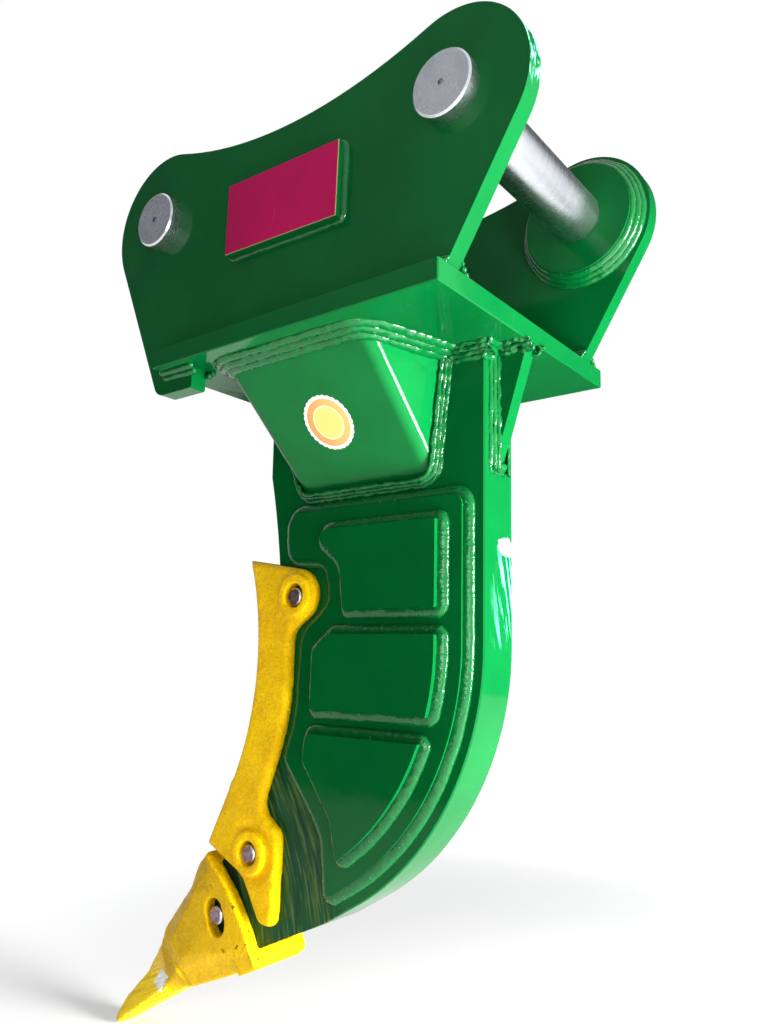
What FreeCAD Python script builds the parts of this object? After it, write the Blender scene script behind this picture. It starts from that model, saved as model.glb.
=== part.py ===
import FreeCAD, Part
import math
import os

# Single shank ripper for an excavator. Millimetres.
# +X points to the rear, +Y away from the side with the pin heads and the name plate, +Z up.
# The origin is the centre of the stick pin, midway between the two ears.

os.makedirs("parts", exist_ok=True)
V = FreeCAD.Vector

# Hitch: the two pins and what they pass through
pin_radius = 40.0
pin_spacing = 555.0
pin_head_radius = 43.5
pin_head_height = 22.0
pin_end_chamfer = 2.5
pin_centre_hole_radius = 4.0
pin_centre_hole_depth = 9.0
pin_clearance = 0.3
ear_thickness = 27.0
ear_outer_half = 207.0
front_lug_radius = 117.0
rear_lug_radius = 111.0
saddle_radius = 745.0
ear_front_lean = 24.1
ear_rear_lean = 30.8
boss_radius = 88.0
boss_thickness = 25.0

# Base plate and the hooks of the ears round its front end
plate_top = -227.0
plate_thickness = 30.0
plate_front = 25.0
plate_past_rib = 1.0
plate_half_width = 235.0
plate_edge_break = 1.5
hook_length = 60.0
hook_drop = 33.0
hook_corner_radius = 24.0

# Far ends of the pins
collar_radius = 62.0
collar_length = 40.0
collar_flat = 4.0
pin_end_proud = 6.0
lock_bolt_radius = 8.0
lock_bolt_flat = 24.0
lock_head_height = 10.0
lock_nut_height = 13.0
lock_bolt_past_nut = 5.0

# Name plate on the outer face of the left ear
name_plate_length = 217.0
name_plate_height = 109.0
name_plate_thickness = 16.0
name_plate_offset = (-0.5, -57.0)
name_plate_tilt = 1.7
name_plate_edge_break = 1.2

# Shank: one thick plate, bent forward to a nose. Offsets are from the centre of its bend.
shank_thickness = 76.0
shank_rear = 503.0
shank_top_width = 410.0
shank_bend_drop = 420.0
shank_bend_radius = 427.0
shank_underside_lean = 30.3
waist_offset = (50.0, -13.0)
upper_front_radius = 1300.0
upper_front_drop = 143.0
lower_front_radius = 430.0
lower_front_lean = 25.0
nose_shoulder_drop = 313.6
shank_edge_break = 2.0

# Tooth: sizes along its own axis (forward and down) and square to it, from its pin
tooth_pin_offset = (-58.0, -426.0)
tooth_lean = 24.5
tooth_half_width = 60.0
nose_length = 96.0
nose_tip_top = -12.0
nose_tip_bottom = -62.0
nose_underside = -68.0
nose_start = -87.0
nose_corner_radius = 14.0
rim_points = ((-14.0, 97.0), (-44.0, 30.0), (-61.0, -68.0))
rim_corner_radius = 10.0
tooth_underside = -96.0
tooth_sections = (
    # forward, then height and half width of the top, the shoulder, the lower fold and the underside
    (-14.0, 98.0, 51.0, 72.0, 60.0, -66.0, 60.0, -92.0, 50.0),
    (14.0, 87.0, 51.0, 60.0, 60.0, -57.0, 60.0, -91.0, 48.0),
    (48.0, 59.0, 48.0, 39.0, 60.0, -56.0, 60.0, -90.0, 46.0),
    (118.0, 28.0, 43.0, -6.0, 58.0, -50.0, 58.0, -87.0, 41.0),
    (148.0, 16.0, 40.0, -28.0, 42.0, -60.0, 40.0, -83.0, 24.0),
    (176.0, -7.0, 35.0, -58.0, 33.0, -68.0, 34.0, -86.0, 20.0),
    (235.0, -40.0, 29.5, -72.0, 31.0, -79.0, 32.0, -92.0, 18.0),
    (305.0, -63.0, 28.0, -86.0, 30.0, -90.0, 31.0, -98.0, 18.0),
    (350.0, -88.0, 27.0, -96.0, 28.5, -98.0, 29.0, -102.0, 20.0))
slot_length = 58.0
slot_width = 38.0
slot_lean = 21.0
slot_offset = (2.5, -1.0)
cross_pin_radius = 14.0
cross_pin_half_length = 56.0
cross_pin_chamfer = 2.5
socket_clearance = 0.3

# Protector over the front edge of the shank. Offsets are from the centre of the shank's bend.
upper_pin_offset = (92.0, 75.0)
lower_pin_offset = (10.0, -323.0)
protector_wall = 17.0
protector_front_wall = 45.0
protector_front_radius = 475.0
protector_front_fall = 5.0
protector_top_turn = 18.15
protector_low_turn = 24.0
protector_edge_break = 11.0
protector_rear_break = 6.0
scoop_radius = 50.0
scoop_depth = 6.0
nub_top = -203.0
nub_low = -237.0
nub_slope = 15.0
nub_half_length = 38.0
nub_proud = 9.5
nub_corner_radius = 6.0
nub_root = 8.0
protector_end = (-12.0, 114.0)
protector_rear_points = ((85.0, 22.0, 26.0), (81.0, -113.0, 330.0), (28.0, -253.0, 30.0), (73.0, -285.0, 26.0),
                         (67.0, -426.5, 17.0), (33.0, -422.5, 12.0), (-6.0, -359.0, 60.0))
lug_radius = 42.0
lug_rise = 3.0
lug_low_angle = -52.0
ring_radius = 34.5
ring_height = 6.0
ring_hole_radius = 19.0
ring_shift = 2.0

# Wear plates and pads on the shank: corners as offsets from the centre of its bend, with a corner radius
cheek_thickness = 12.0
cheek_gap = 0.5
cheek_top_front = (71.0, 22.0)
cheek_top_corner_radius = 16.0
cheek_inset = 29.0
cheek_low_front = (168.0, 3.0)
cheek_front_points = ((75.0, 136.0, 18.0), (157.0, 131.0, 30.0), (164.0, 59.0, 40.0), (108.0, 13.0, 30.0),
                      (101.0, -113.0, 120.0), (80.0, -174.0, 6.0), (160.0, -275.0, 90.0))
cheek_weld_leg = 15.0
cheek_weld_rise = 8.0
pad_thickness = 16.0
pad_inset = 63.0
pad_corner_radius = 3.0
pad_weld_leg = 15.0
pad_weld_rise = 8.0
pad_upper_points = ((157.0, 174.5, 12.0), (150.0, 157.0, 10.0), (192.0, 125.0, 40.0), (201.0, 51.5, 2.0))
pad_upper_rear_heights = (50.5, 174.0)
pad_middle_points = ((175.0, 16.0, 3.0), (143.0, -9.0, 8.0), (141.0, -96.0, 3.0))
pad_middle_rear_heights = (14.0, -98.0)
pad_lower_points = ((134.0, -131.0, 10.0), (129.0, -171.0, 16.0), (186.0, -248.0, 70.0))
pad_lower_rear_height = -134.0
pad_lower_tip_angle = -57.0

# Gusset boxes and the rib behind the shank. Places along X are measured forward from the shank's rear edge.
gusset_wall = 14.0
gusset_reach = 147.0
gusset_drop = 185.0
gusset_past_hook = 46.0
gusset_top_rear = 101.0
gusset_foot_span = (397.0, 63.0)
gusset_toe_span = (333.0, 83.0)
gusset_fold_radius = 20.0
gusset_plate_leg = 25.0
gusset_shank_leg = 12.0
gusset_panel_leg = 15.0
rib_thickness = 24.0
rib_reach = 54.0
rib_drop = 173.0
rib_weld_leg = 15.0

# Other welds
ear_inner_weld_leg = 17.0
ear_outer_weld_leg = 12.0
hook_weld_leg = 13.0
boss_weld_leg = 16.5
boss_weld_margin = 4.0
name_weld_leg = 7.0
collar_weld_leg = 8.0
weld_crown = 0.22

# Derived places
plate_bottom = plate_top - plate_thickness
ear_inner_half = ear_outer_half - ear_thickness
boss_face_half = ear_inner_half - boss_thickness
shank_half = shank_thickness / 2
cheek_face = shank_half + cheek_thickness
pad_face = cheek_face + pad_thickness
protector_half = shank_half + protector_wall
plate_rear = shank_rear + rib_reach + plate_past_rib
bend_centre = (shank_rear - shank_bend_radius, plate_bottom - shank_bend_drop)


def below(offset):
    """A place given from the centre of the shank's bend; a corner radius after it is kept."""
    return (bend_centre[0] + offset[0], bend_centre[1] + offset[1]) + tuple(offset[2:])


waist = below(waist_offset)
tooth_pin_place = below(tooth_pin_offset)
upper_pin_place = below(upper_pin_offset)
lower_pin_place = below(lower_pin_offset)
cross_pin_places = (upper_pin_place, lower_pin_place, tooth_pin_place)


# Flat geometry in the XZ plane

def polar(centre, radius, degrees):
    angle = math.radians(degrees)
    return (centre[0] + radius * math.cos(angle), centre[1] + radius * math.sin(angle))


def heading(degrees):
    return polar((0.0, 0.0), 1.0, degrees)


def meeting(p, p_heading, q, q_heading):
    """Where the line through p along p_heading meets the line through q along q_heading."""
    a, b = heading(p_heading), heading(q_heading)
    cross = a[0] * b[1] - a[1] * b[0]
    t = ((q[0] - p[0]) * b[1] - (q[1] - p[1]) * b[0]) / cross
    return (p[0] + a[0] * t, p[1] + a[1] * t)


def line_part(p, q):
    return {"from": p, "to": q, "centre": None, "turn": 0}


def arc_part(p, q, centre, turn):
    """An arc from p to q round centre; turn is 1 anticlockwise and -1 clockwise."""
    return {"from": p, "to": q, "centre": centre, "turn": turn}


def sweep_angle(part):
    """Signed angle in degrees that an arc turns through."""
    centre = part["centre"]
    start = math.atan2(part["from"][1] - centre[1], part["from"][0] - centre[0])
    end = math.atan2(part["to"][1] - centre[1], part["to"][0] - centre[0])
    swept = (end - start) * part["turn"] % (2 * math.pi)
    return math.degrees(swept) * part["turn"]


def rounded(points):
    """A closed outline of lines with rounded corners, from (x, z, corner radius) points."""
    count = len(points)
    corners = []
    for i in range(count):
        before, here, after = points[i - 1], points[i], points[(i + 1) % count]
        radius = here[2]
        if radius == 0:
            corners.append(((here[0], here[1]), (here[0], here[1]), None, 0))
            continue
        a = (before[0] - here[0], before[1] - here[1])
        b = (after[0] - here[0], after[1] - here[1])
        a_length, b_length = math.hypot(*a), math.hypot(*b)
        a, b = (a[0] / a_length, a[1] / a_length), (b[0] / b_length, b[1] / b_length)
        half = math.acos(a[0] * b[0] + a[1] * b[1]) / 2
        back = radius / math.tan(half)
        start = (here[0] + a[0] * back, here[1] + a[1] * back)
        end = (here[0] + b[0] * back, here[1] + b[1] * back)
        middle = (a[0] + b[0], a[1] + b[1])
        scale = radius / math.sin(half) / math.hypot(*middle)
        centre = (here[0] + middle[0] * scale, here[1] + middle[1] * scale)
        turn = 1 if b[0] * a[1] - b[1] * a[0] > 0 else -1
        corners.append((start, end, centre, turn))
    parts = []
    for i in range(count):
        start, end, centre, turn = corners[i]
        if centre:
            parts.append(arc_part(start, end, centre, turn))
        following = corners[(i + 1) % count][0]
        if math.dist(end, following) > 1e-6:
            parts.append(line_part(end, following))
    return parts


def at(point, y):
    return V(point[0], y, point[1])


def outline_wire(parts, y):
    edges = []
    for part in parts:
        if part["centre"]:
            radius = math.dist(part["from"], part["centre"])
            start = math.atan2(part["from"][1] - part["centre"][1], part["from"][0] - part["centre"][0])
            middle = polar(part["centre"], radius, math.degrees(start) + sweep_angle(part) / 2)
            edges.append(Part.Arc(at(part["from"], y), at(middle, y), at(part["to"], y)).toShape())
        else:
            edges.append(Part.LineSegment(at(part["from"], y), at(part["to"], y)).toShape())
    return Part.Wire(edges)


def slab(parts, y_low, y_high):
    """The outline as a flat plate between two Y values."""
    return Part.Face(outline_wire(parts, y_low)).extrude(V(0, y_high - y_low, 0))


def rod(centre, radius, y_low, y_high):
    return Part.makeCylinder(radius, y_high - y_low, at(centre, y_low), V(0, 1, 0))


def fused(shapes):
    whole = shapes[0].multiFuse(shapes[1:]) if len(shapes) > 1 else shapes[0]
    return whole.removeSplitter()


def mirrored(shape):
    return shape.mirror(V(0, 0, 0), V(0, 1, 0))


def save(name, shape):
    shape.exportStep("parts/" + name + ".step")


# Welds: a bead is a corner filled by rounded passes

def bead_steps(leg_a, leg_b, passes):
    """The outer line of a bead from one leg's end to the other, with a crown on each pass, or flat with none."""
    if passes == 0:
        return [(leg_a, 0.0), (0.0, leg_b)]
    steps = [(leg_a, 0.0)]
    for i in range(passes):
        middle, high = (i + 0.5) / passes, (i + 1) / passes
        crown = weld_crown / passes
        steps.append((leg_a * (1 - middle + crown), leg_b * (middle + crown)))
        steps.append((leg_a * (1 - high), leg_b * high))
    return steps


def bead_face(corner, along_a, along_b, leg_a, leg_b, passes):
    """Section of a bead in a corner, with legs along two directions."""
    points = [corner] + [corner + along_a * a + along_b * b for a, b in bead_steps(leg_a, leg_b, passes)]
    return Part.Face(Part.makePolygon(points + [corner]))


def straight_bead(start, end, along_a, along_b, leg_a, leg_b, passes):
    return bead_face(start, along_a, along_b, leg_a, leg_b, passes).extrude(end - start)


def round_bead(centre, radius, y_wall, y_way, leg_out, leg_up, passes):
    """A ring bead round a disc that stands on a wall at y_wall and rises along y_way."""
    face = bead_face(at((centre[0] + radius, centre[1]), y_wall), V(1, 0, 0), V(0, y_way, 0), leg_out, leg_up, passes)
    return face.revolve(at(centre, y_wall), V(0, 1, 0), 360)


def rim_bead(parts, y_wall, y_way, leg_out, leg_up):
    """A bead all round a plate on a wall: runs beside lines, turns beside arcs and at outer corners."""
    area = sum(p["from"][0] * p["to"][1] - p["to"][0] * p["from"][1] for p in parts)
    outward = -90 if area > 0 else 90
    beads = []
    directions = []
    for part in parts:
        if part["centre"]:
            radial = math.degrees(math.atan2(part["from"][1] - part["centre"][1], part["from"][0] - part["centre"][0]))
            travel = radial + 90 * part["turn"]
            swept = sweep_angle(part)
            face = bead_face(at(part["from"], y_wall), at(heading(travel + outward), 0), V(0, y_way, 0),
                             leg_out, leg_up, 0)
            inward_room = math.dist(part["from"], part["centre"]) > leg_out or part["turn"] * outward < 0
            if inward_room:
                beads.append(face.revolve(at(part["centre"], y_wall), V(0, -1, 0), swept))
            directions.append((travel, travel + swept))
        else:
            travel = math.degrees(math.atan2(part["to"][1] - part["from"][1], part["to"][0] - part["from"][0]))
            beads.append(straight_bead(at(part["from"], y_wall), at(part["to"], y_wall),
                                       at(heading(travel + outward), 0), V(0, y_way, 0), leg_out, leg_up, 0))
            directions.append((travel, travel))
    for i in range(len(parts)):
        leaving, entering = directions[i - 1][1], directions[i][0]
        bend = (entering - leaving + 180) % 360 - 180
        if abs(bend) > 1 and bend * outward < 0:
            face = bead_face(at(parts[i]["from"], y_wall), at(heading(leaving + outward), 0), V(0, y_way, 0),
                             leg_out, leg_up, 0)
            beads.append(face.revolve(at(parts[i]["from"], y_wall), V(0, -1, 0), bend))
    return fused(beads)


# Ear outline: two lugs joined by the saddle, and the hook round the plate's front end

stick_centre = (0.0, 0.0)
link_centre = (pin_spacing, 0.0)


def ear_outline():
    to_front = front_lug_radius + saddle_radius
    to_rear = rear_lug_radius + saddle_radius
    saddle_x = (to_front ** 2 - to_rear ** 2 + pin_spacing ** 2) / (2 * pin_spacing)
    saddle_centre = (saddle_x, math.sqrt(to_front ** 2 - saddle_x ** 2))
    front_top = polar(stick_centre, front_lug_radius, math.degrees(math.atan2(saddle_centre[1], saddle_centre[0])))
    rear_top = polar(link_centre, rear_lug_radius,
                     math.degrees(math.atan2(saddle_centre[1], saddle_centre[0] - pin_spacing)))
    front_side = polar(stick_centre, front_lug_radius, 180 + ear_front_lean)
    rear_side = polar(link_centre, rear_lug_radius, -ear_rear_lean)
    rear_foot = meeting(rear_side, -90 - ear_rear_lean, (0, plate_top), 0)
    hook_bottom = plate_bottom - hook_drop
    hook_front = meeting(front_side, -90 + ear_front_lean, (0, hook_bottom), 0)
    hook_rear = plate_front + hook_length
    corner = rounded([(front_side[0], front_side[1], 0), (hook_front[0], hook_front[1], hook_corner_radius),
                      (hook_rear, hook_bottom, 4), (hook_rear, plate_bottom, 0)])[:-1]
    return corner + [
        line_part((hook_rear, plate_bottom), (plate_front, plate_bottom)),
        line_part((plate_front, plate_bottom), (plate_front, plate_top)),
        line_part((plate_front, plate_top), rear_foot),
        line_part(rear_foot, rear_side),
        arc_part(rear_side, rear_top, link_centre, 1),
        arc_part(rear_top, front_top, saddle_centre, -1),
        arc_part(front_top, front_side, stick_centre, 1)]


def ear():
    """The left ear, at negative Y."""
    plate = slab(ear_outline(), -ear_outer_half, -ear_inner_half)
    for centre in (stick_centre, link_centre):
        plate = plate.cut(rod(centre, pin_radius + pin_clearance, -ear_outer_half - 1, -ear_inner_half + 1))
    return plate


def boss(centre):
    disc = rod(centre, boss_radius, -ear_inner_half, -boss_face_half)
    bore = rod(centre, pin_radius + pin_clearance, -ear_inner_half - 1, -boss_face_half + 1)
    return disc.cut(bore)


def hitch_pin(centre):
    far_end = ear_outer_half + collar_length + pin_end_proud
    shaft = rod(centre, pin_radius, -ear_outer_half, far_end)
    head = rod(centre, pin_head_radius, -ear_outer_half - pin_head_height, -ear_outer_half)
    head_rim = [e for e in head.Edges if abs(e.BoundBox.YMin + ear_outer_half + pin_head_height) < 0.01]
    head = head.makeChamfer(pin_end_chamfer, [e for e in head_rim if len(e.Vertexes) == 1])
    end_rim = [e for e in shaft.Edges if abs(e.BoundBox.YMin - far_end) < 0.01 and len(e.Vertexes) == 1]
    shaft = shaft.makeChamfer(pin_end_chamfer, end_rim)
    pin = fused([shaft, head])
    outer = -ear_outer_half - pin_head_height
    hole = rod(centre, pin_centre_hole_radius, outer - 1, outer + pin_centre_hole_depth)
    bolt_hole = bolt_bore(centre)
    return pin.cut(hole).cut(bolt_hole)


# The locking bolt runs along X through the collar and the pin's far end

bolt_y = ear_outer_half + collar_length * 0.6


def bolt_bore(centre):
    reach = collar_radius + 5
    return Part.makeCylinder(lock_bolt_radius + pin_clearance, 2 * reach, V(centre[0] - reach, bolt_y, centre[1]),
                             V(1, 0, 0))


def collar(centre):
    ring = rod(centre, collar_radius, ear_outer_half, ear_outer_half + collar_length)
    bore = rod(centre, pin_radius + pin_clearance, ear_outer_half - 1, ear_outer_half + collar_length + 1)
    flat = lock_bolt_flat
    for side in (-1, 1):
        seat = Part.makeBox(collar_radius, 2 * flat, 2 * flat, V(0, -flat, -flat))
        seat_x = centre[0] + side * (collar_radius - collar_flat) - (collar_radius if side < 0 else 0)
        seat.translate(V(seat_x, bolt_y, centre[1]))
        ring = ring.cut(seat)
    return ring.cut(bore).cut(bolt_bore(centre))


def hex_prism(x_low, height, centre):
    points = []
    for i in range(7):
        corner = polar((bolt_y, centre[1]), lock_bolt_flat / math.sqrt(3), 30 + 60 * i)
        points.append(V(x_low, corner[0], corner[1]))
    return Part.Face(Part.makePolygon(points)).extrude(V(height, 0, 0))


def lock_bolt(centre):
    seat = collar_radius - collar_flat
    tail = seat + 2 * lock_nut_height + lock_bolt_past_nut
    shank_rod = Part.makeCylinder(lock_bolt_radius, seat + tail, V(centre[0] - seat, bolt_y, centre[1]), V(1, 0, 0))
    head = hex_prism(centre[0] - seat - lock_head_height, lock_head_height, centre)
    return fused([shank_rod, head])


def lock_nuts(centre):
    nuts = []
    for i in range(2):
        start = centre[0] + collar_radius - collar_flat + i * lock_nut_height
        bore = Part.makeCylinder(lock_bolt_radius, lock_nut_height + 2, V(start - 1, bolt_y, centre[1]), V(1, 0, 0))
        nuts.append(hex_prism(start, lock_nut_height - 0.2 * i, centre).cut(bore))
    return nuts


# Base plate

def base_plate():
    plate = Part.makeBox(plate_rear - plate_front, 2 * plate_half_width, plate_thickness,
                         V(plate_front, -plate_half_width, plate_bottom))
    outer = [e for e in plate.Edges if e.BoundBox.XMin > plate_rear - 1 or e.BoundBox.YMax < 1 - plate_half_width
             or e.BoundBox.YMin > plate_half_width - 1]
    return plate.makeChamfer(plate_edge_break, outer)


name_centre = (pin_spacing / 2 + name_plate_offset[0], name_plate_offset[1])


def name_outline():
    half_length, half_height = name_plate_length / 2, name_plate_height / 2
    points = []
    for sx, sz in ((-1, -1), (1, -1), (1, 1), (-1, 1)):
        corner = (sx * half_length, sz * half_height)
        tilt = math.radians(-name_plate_tilt)
        points.append((name_centre[0] + corner[0] * math.cos(tilt) - corner[1] * math.sin(tilt),
                       name_centre[1] + corner[0] * math.sin(tilt) + corner[1] * math.cos(tilt), 0))
    return rounded(points)


def name_plate():
    outer = -ear_outer_half - name_plate_thickness
    plate = slab(name_outline(), outer, -ear_outer_half)
    front = [e for e in plate.Edges if e.BoundBox.YMax < outer + 0.01]
    return plate.makeChamfer(name_plate_edge_break, front)


# Shank. Its nose is set out along the tooth's axis.

forward = heading(180 + tooth_lean)
upward = heading(90 + tooth_lean)


def on_tooth(u, w):
    """A point u forward along the tooth and w above its pin, as (x, z)."""
    return (tooth_pin_place[0] + forward[0] * u + upward[0] * w, tooth_pin_place[1] + forward[1] * u + upward[1] * w)


waist_centre_low = (waist[0] - lower_front_radius, waist[1])
waist_centre_high = (waist[0] - upper_front_radius, waist[1])
low_front = polar(waist_centre_low, lower_front_radius, -lower_front_lean)
high_front_z = plate_bottom - upper_front_drop
high_front = (waist_centre_high[0] + math.sqrt(upper_front_radius ** 2 - (high_front_z - waist[1]) ** 2), high_front_z)
top_front = (shank_rear - shank_top_width, plate_bottom)
nose_top_start = meeting(low_front, -90 - lower_front_lean, (0, bend_centre[1] - nose_shoulder_drop), 0)


def underside_line(inset):
    """Start of the straight underside, at a distance inside the shank's edge."""
    return polar(bend_centre, shank_bend_radius - inset, shank_underside_lean - 90)


def shank_outline():
    bend_start = (shank_rear, bend_centre[1])
    bend_end = underside_line(0)
    heel = meeting(bend_end, 180 + shank_underside_lean, on_tooth(nose_start, nose_underside), 180 + tooth_lean)
    nose = rounded([(nose_top_start[0], nose_top_start[1], 0), (heel[0], heel[1], 0),
                    on_tooth(nose_length, nose_underside) + (nose_corner_radius * 2,),
                    on_tooth(nose_length, nose_tip_top) + (nose_corner_radius,)])[1:]
    return [line_part((shank_rear, plate_bottom), bend_start),
            arc_part(bend_start, bend_end, bend_centre, -1),
            line_part(bend_end, heel)] + nose + [
            line_part(nose_top_start, low_front),
            arc_part(low_front, waist, waist_centre_low, 1),
            arc_part(waist, high_front, waist_centre_high, 1),
            line_part(high_front, top_front),
            line_part(top_front, (shank_rear, plate_bottom))]


def shank():
    plate = slab(shank_outline(), -shank_half, shank_half)
    rear_edges = []
    for edge in plate.Edges:
        box = edge.BoundBox
        flat = abs(box.YMax - box.YMin) < 0.01
        behind = box.XMin > waist[0] and box.ZMin < plate_bottom - 1 and box.XMax > bend_centre[0]
        if flat and behind:
            rear_edges.append(edge)
    plate = plate.makeChamfer(shank_edge_break, rear_edges)
    for place in cross_pin_places:
        plate = plate.cut(rod(place, cross_pin_radius, -shank_half - 1, shank_half + 1))
    return plate


def cross_pin(place):
    pin = rod(place, cross_pin_radius, -cross_pin_half_length, cross_pin_half_length)
    return pin.makeChamfer(cross_pin_chamfer, [e for e in pin.Edges if len(e.Vertexes) == 1])


# Protector

def protector_outline():
    front_centre = (waist[0] - protector_front_wall - protector_front_radius, waist[1] + protector_front_fall)
    front_high = polar(front_centre, protector_front_radius, protector_top_turn)
    front_low = polar(front_centre, protector_front_radius, -protector_low_turn)
    lug = (upper_pin_place[0], upper_pin_place[1] + lug_rise)
    to_lug = math.degrees(math.atan2(lug[1] - front_high[1], lug[0] - front_high[0]))
    lean = math.degrees(math.asin(lug_radius / math.dist(lug, front_high)))
    lug_top = polar(lug, lug_radius, to_lug + lean + 90)
    lug_low = polar(lug, lug_radius, lug_low_angle)
    end = on_tooth(*protector_end)
    rear = rounded([lug_low + (0,)] + [below(point) for point in protector_rear_points] + [end + (0,)])[:-1]
    return rear + [
        line_part(end, front_low),
        arc_part(front_low, front_high, front_centre, 1),
        line_part(front_high, lug_top),
        arc_part(lug_top, lug_low, lug, -1)]


def ring_places():
    for pin in (upper_pin_place, lower_pin_place):
        yield (pin[0] + ring_shift, pin[1] + ring_shift)


def scoop(place, side):
    """The dished seat round the lower ring, cut into one face."""
    face = protector_half * side
    dish = Part.makeCone(scoop_radius, ring_radius, scoop_depth, at(place, face), V(0, -side, 0))
    return dish


def front_nub():
    """The block cast on the front edge, sloped at its upper end."""
    centre = (waist[0] - protector_front_wall - protector_front_radius, waist[1] + protector_front_fall)

    def off_front(height, proud, radius):
        fall = bend_centre[1] + height - centre[1]
        reach = math.sqrt((protector_front_radius - proud) ** 2 - fall ** 2)
        return (centre[0] + reach, centre[1] + fall, radius)

    corners = [off_front(nub_top, -nub_root, 0), off_front(nub_top, 0, 0),
               off_front(nub_top - nub_slope, nub_proud, nub_corner_radius),
               off_front(nub_low, nub_proud, nub_corner_radius), off_front(nub_low, -nub_root, 0)]
    return slab(rounded(corners), -nub_half_length, nub_half_length)


def protector():
    body = slab(protector_outline(), -protector_half, protector_half)
    front_edges, rear_edges = [], []
    for edge in body.Edges:
        box = edge.BoundBox
        if abs(box.YMax - box.YMin) > 0.01:
            continue
        if box.XMax < waist[0] and box.ZMax - box.ZMin > protector_half:
            front_edges.append(edge)
        elif box.XMax > waist[0] or box.ZMax < lower_pin_place[1] + ring_radius:
            rear_edges.append(edge)
    body = body.makeChamfer(protector_edge_break, front_edges)
    body = softer(body, rear_edges, protector_rear_break)
    lower = list(ring_places())[-1]
    body = body.cut(scoop(lower, -1)).cut(scoop(lower, 1))
    rings = [rod(place, ring_radius, -protector_half - ring_height, protector_half + ring_height)
             for place in ring_places()]
    body = fused([body, front_nub()] + rings)
    body = body.cut(slab(shank_outline(), -shank_half - socket_clearance, shank_half + socket_clearance))
    for place in ring_places():
        body = body.cut(rod(place, ring_hole_radius, -protector_half - ring_height - 1,
                            protector_half + ring_height + 1))
    return body


def softer(body, edges, size):
    """Chamfers the edges of the body that lie where the given ones lay."""
    middles = [edge.valueAt((edge.FirstParameter + edge.LastParameter) / 2) for edge in edges]
    found = [edge for edge in body.Edges
             if any(edge.distToShape(Part.Vertex(middle))[0] < 0.01 for middle in middles)]
    return body.makeChamfer(size, found)


# Tooth

def tooth_section(u, *heights_and_halves):
    """Corners of one section of the tooth square to its axis, round both sides."""
    pairs = list(zip(heights_and_halves[0::2], heights_and_halves[1::2]))
    ring = [(w, half) for w, half in pairs] + [(w, -half) for w, half in reversed(pairs)]
    return [at(on_tooth(u, w), y) for w, y in ring]


def flat_loft(sections):
    """A loft in flat facets: each side between two sections is a pair of triangles."""
    faces = [Part.Face(Part.makePolygon(ring + ring[:1])) for ring in (sections[0], sections[-1])]
    for near, far in zip(sections, sections[1:]):
        count = len(near)
        for i in range(count):
            k = (i + 1) % count
            for triangle in ((near[i], near[k], far[i]), (near[k], far[k], far[i])):
                faces.append(Part.Face(Part.makePolygon(list(triangle) + [triangle[0]])))
    solid = Part.makeSolid(Part.makeShell(faces))
    if solid.Volume < 0:
        solid.reverse()
    return solid


def tooth():
    body = flat_loft([tooth_section(*row) for row in tooth_sections])
    top_rear, mid_rear, low_rear = [on_tooth(*point) for point in rim_points]
    loft_start = tooth_sections[0][0]
    low_front = on_tooth(loft_start, tooth_underside)
    low_end = on_tooth(rim_points[2][0], tooth_underside)
    rim = [Part.LineSegment(at(top_rear, 0), at(low_front, 0)).toShape(),
           Part.LineSegment(at(low_front, 0), at(low_end, 0)).toShape(),
           Part.LineSegment(at(low_end, 0), at(low_rear, 0)).toShape(),
           Part.Arc(at(low_rear, 0), at(mid_rear, 0), at(top_rear, 0)).toShape()]
    cheeks = Part.Face(Part.Wire(rim)).extrude(V(0, 2 * tooth_half_width, 0))
    cheeks.translate(V(0, -tooth_half_width, 0))
    rear_corner = Part.Vertex(at(low_end, 0))
    cheeks = cheeks.makeFillet(rim_corner_radius, [e for e in cheeks.Edges if e.distToShape(rear_corner)[0] < 0.01])
    body = fused([body, cheeks])
    body = body.cut(slab(shank_outline(), -shank_half - socket_clearance, shank_half + socket_clearance))
    lean = 90 + slot_lean
    middle = (tooth_pin_place[0] + slot_offset[0], tooth_pin_place[1] + slot_offset[1])
    ends = [polar(middle, (slot_length - slot_width) / 2, angle) for angle in (lean, lean + 180)]
    slot = fused([rod(ends[0], slot_width / 2, -tooth_half_width - 1, tooth_half_width + 1),
                  rod(ends[1], slot_width / 2, -tooth_half_width - 1, tooth_half_width + 1),
                  slab(slot_sides(ends, lean), -tooth_half_width - 1, tooth_half_width + 1)])
    return body.cut(slot)


def slot_sides(ends, lean):
    half = slot_width / 2
    corners = [polar(ends[0], half, lean + 90), polar(ends[1], half, lean + 90),
               polar(ends[1], half, lean - 90), polar(ends[0], half, lean - 90)]
    return rounded([corner + (0,) for corner in corners])


# Cheek plates and pads

def arc_corner(inset):
    """The corner that a bend of the shank's own centre rounds off, at a distance inside its edge."""
    side = (shank_rear - inset, 0)
    return meeting(side, 90, underside_line(inset), shank_underside_lean) + (shank_bend_radius - inset,)


def rear_at(height, radius):
    """Where a curve concentric with the shank's bend reaches a height given from the bend's centre."""
    return (bend_centre[0] + math.sqrt(radius ** 2 - height ** 2), bend_centre[1] + height)


def cheek_outline():
    top = plate_bottom - gusset_drop - gusset_shank_leg - cheek_weld_leg - cheek_gap
    low_front = (bend_centre[0] + cheek_low_front[0], 0)
    bottom = meeting(underside_line(cheek_inset), shank_underside_lean, low_front, 90)
    return rounded([(bend_centre[0] + cheek_top_front[0], top, cheek_top_front[1])]
                   + [below(point) for point in cheek_front_points]
                   + [bottom + (cheek_low_front[1],), arc_corner(cheek_inset),
                      (shank_rear - cheek_inset, top, cheek_top_corner_radius)])


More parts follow.
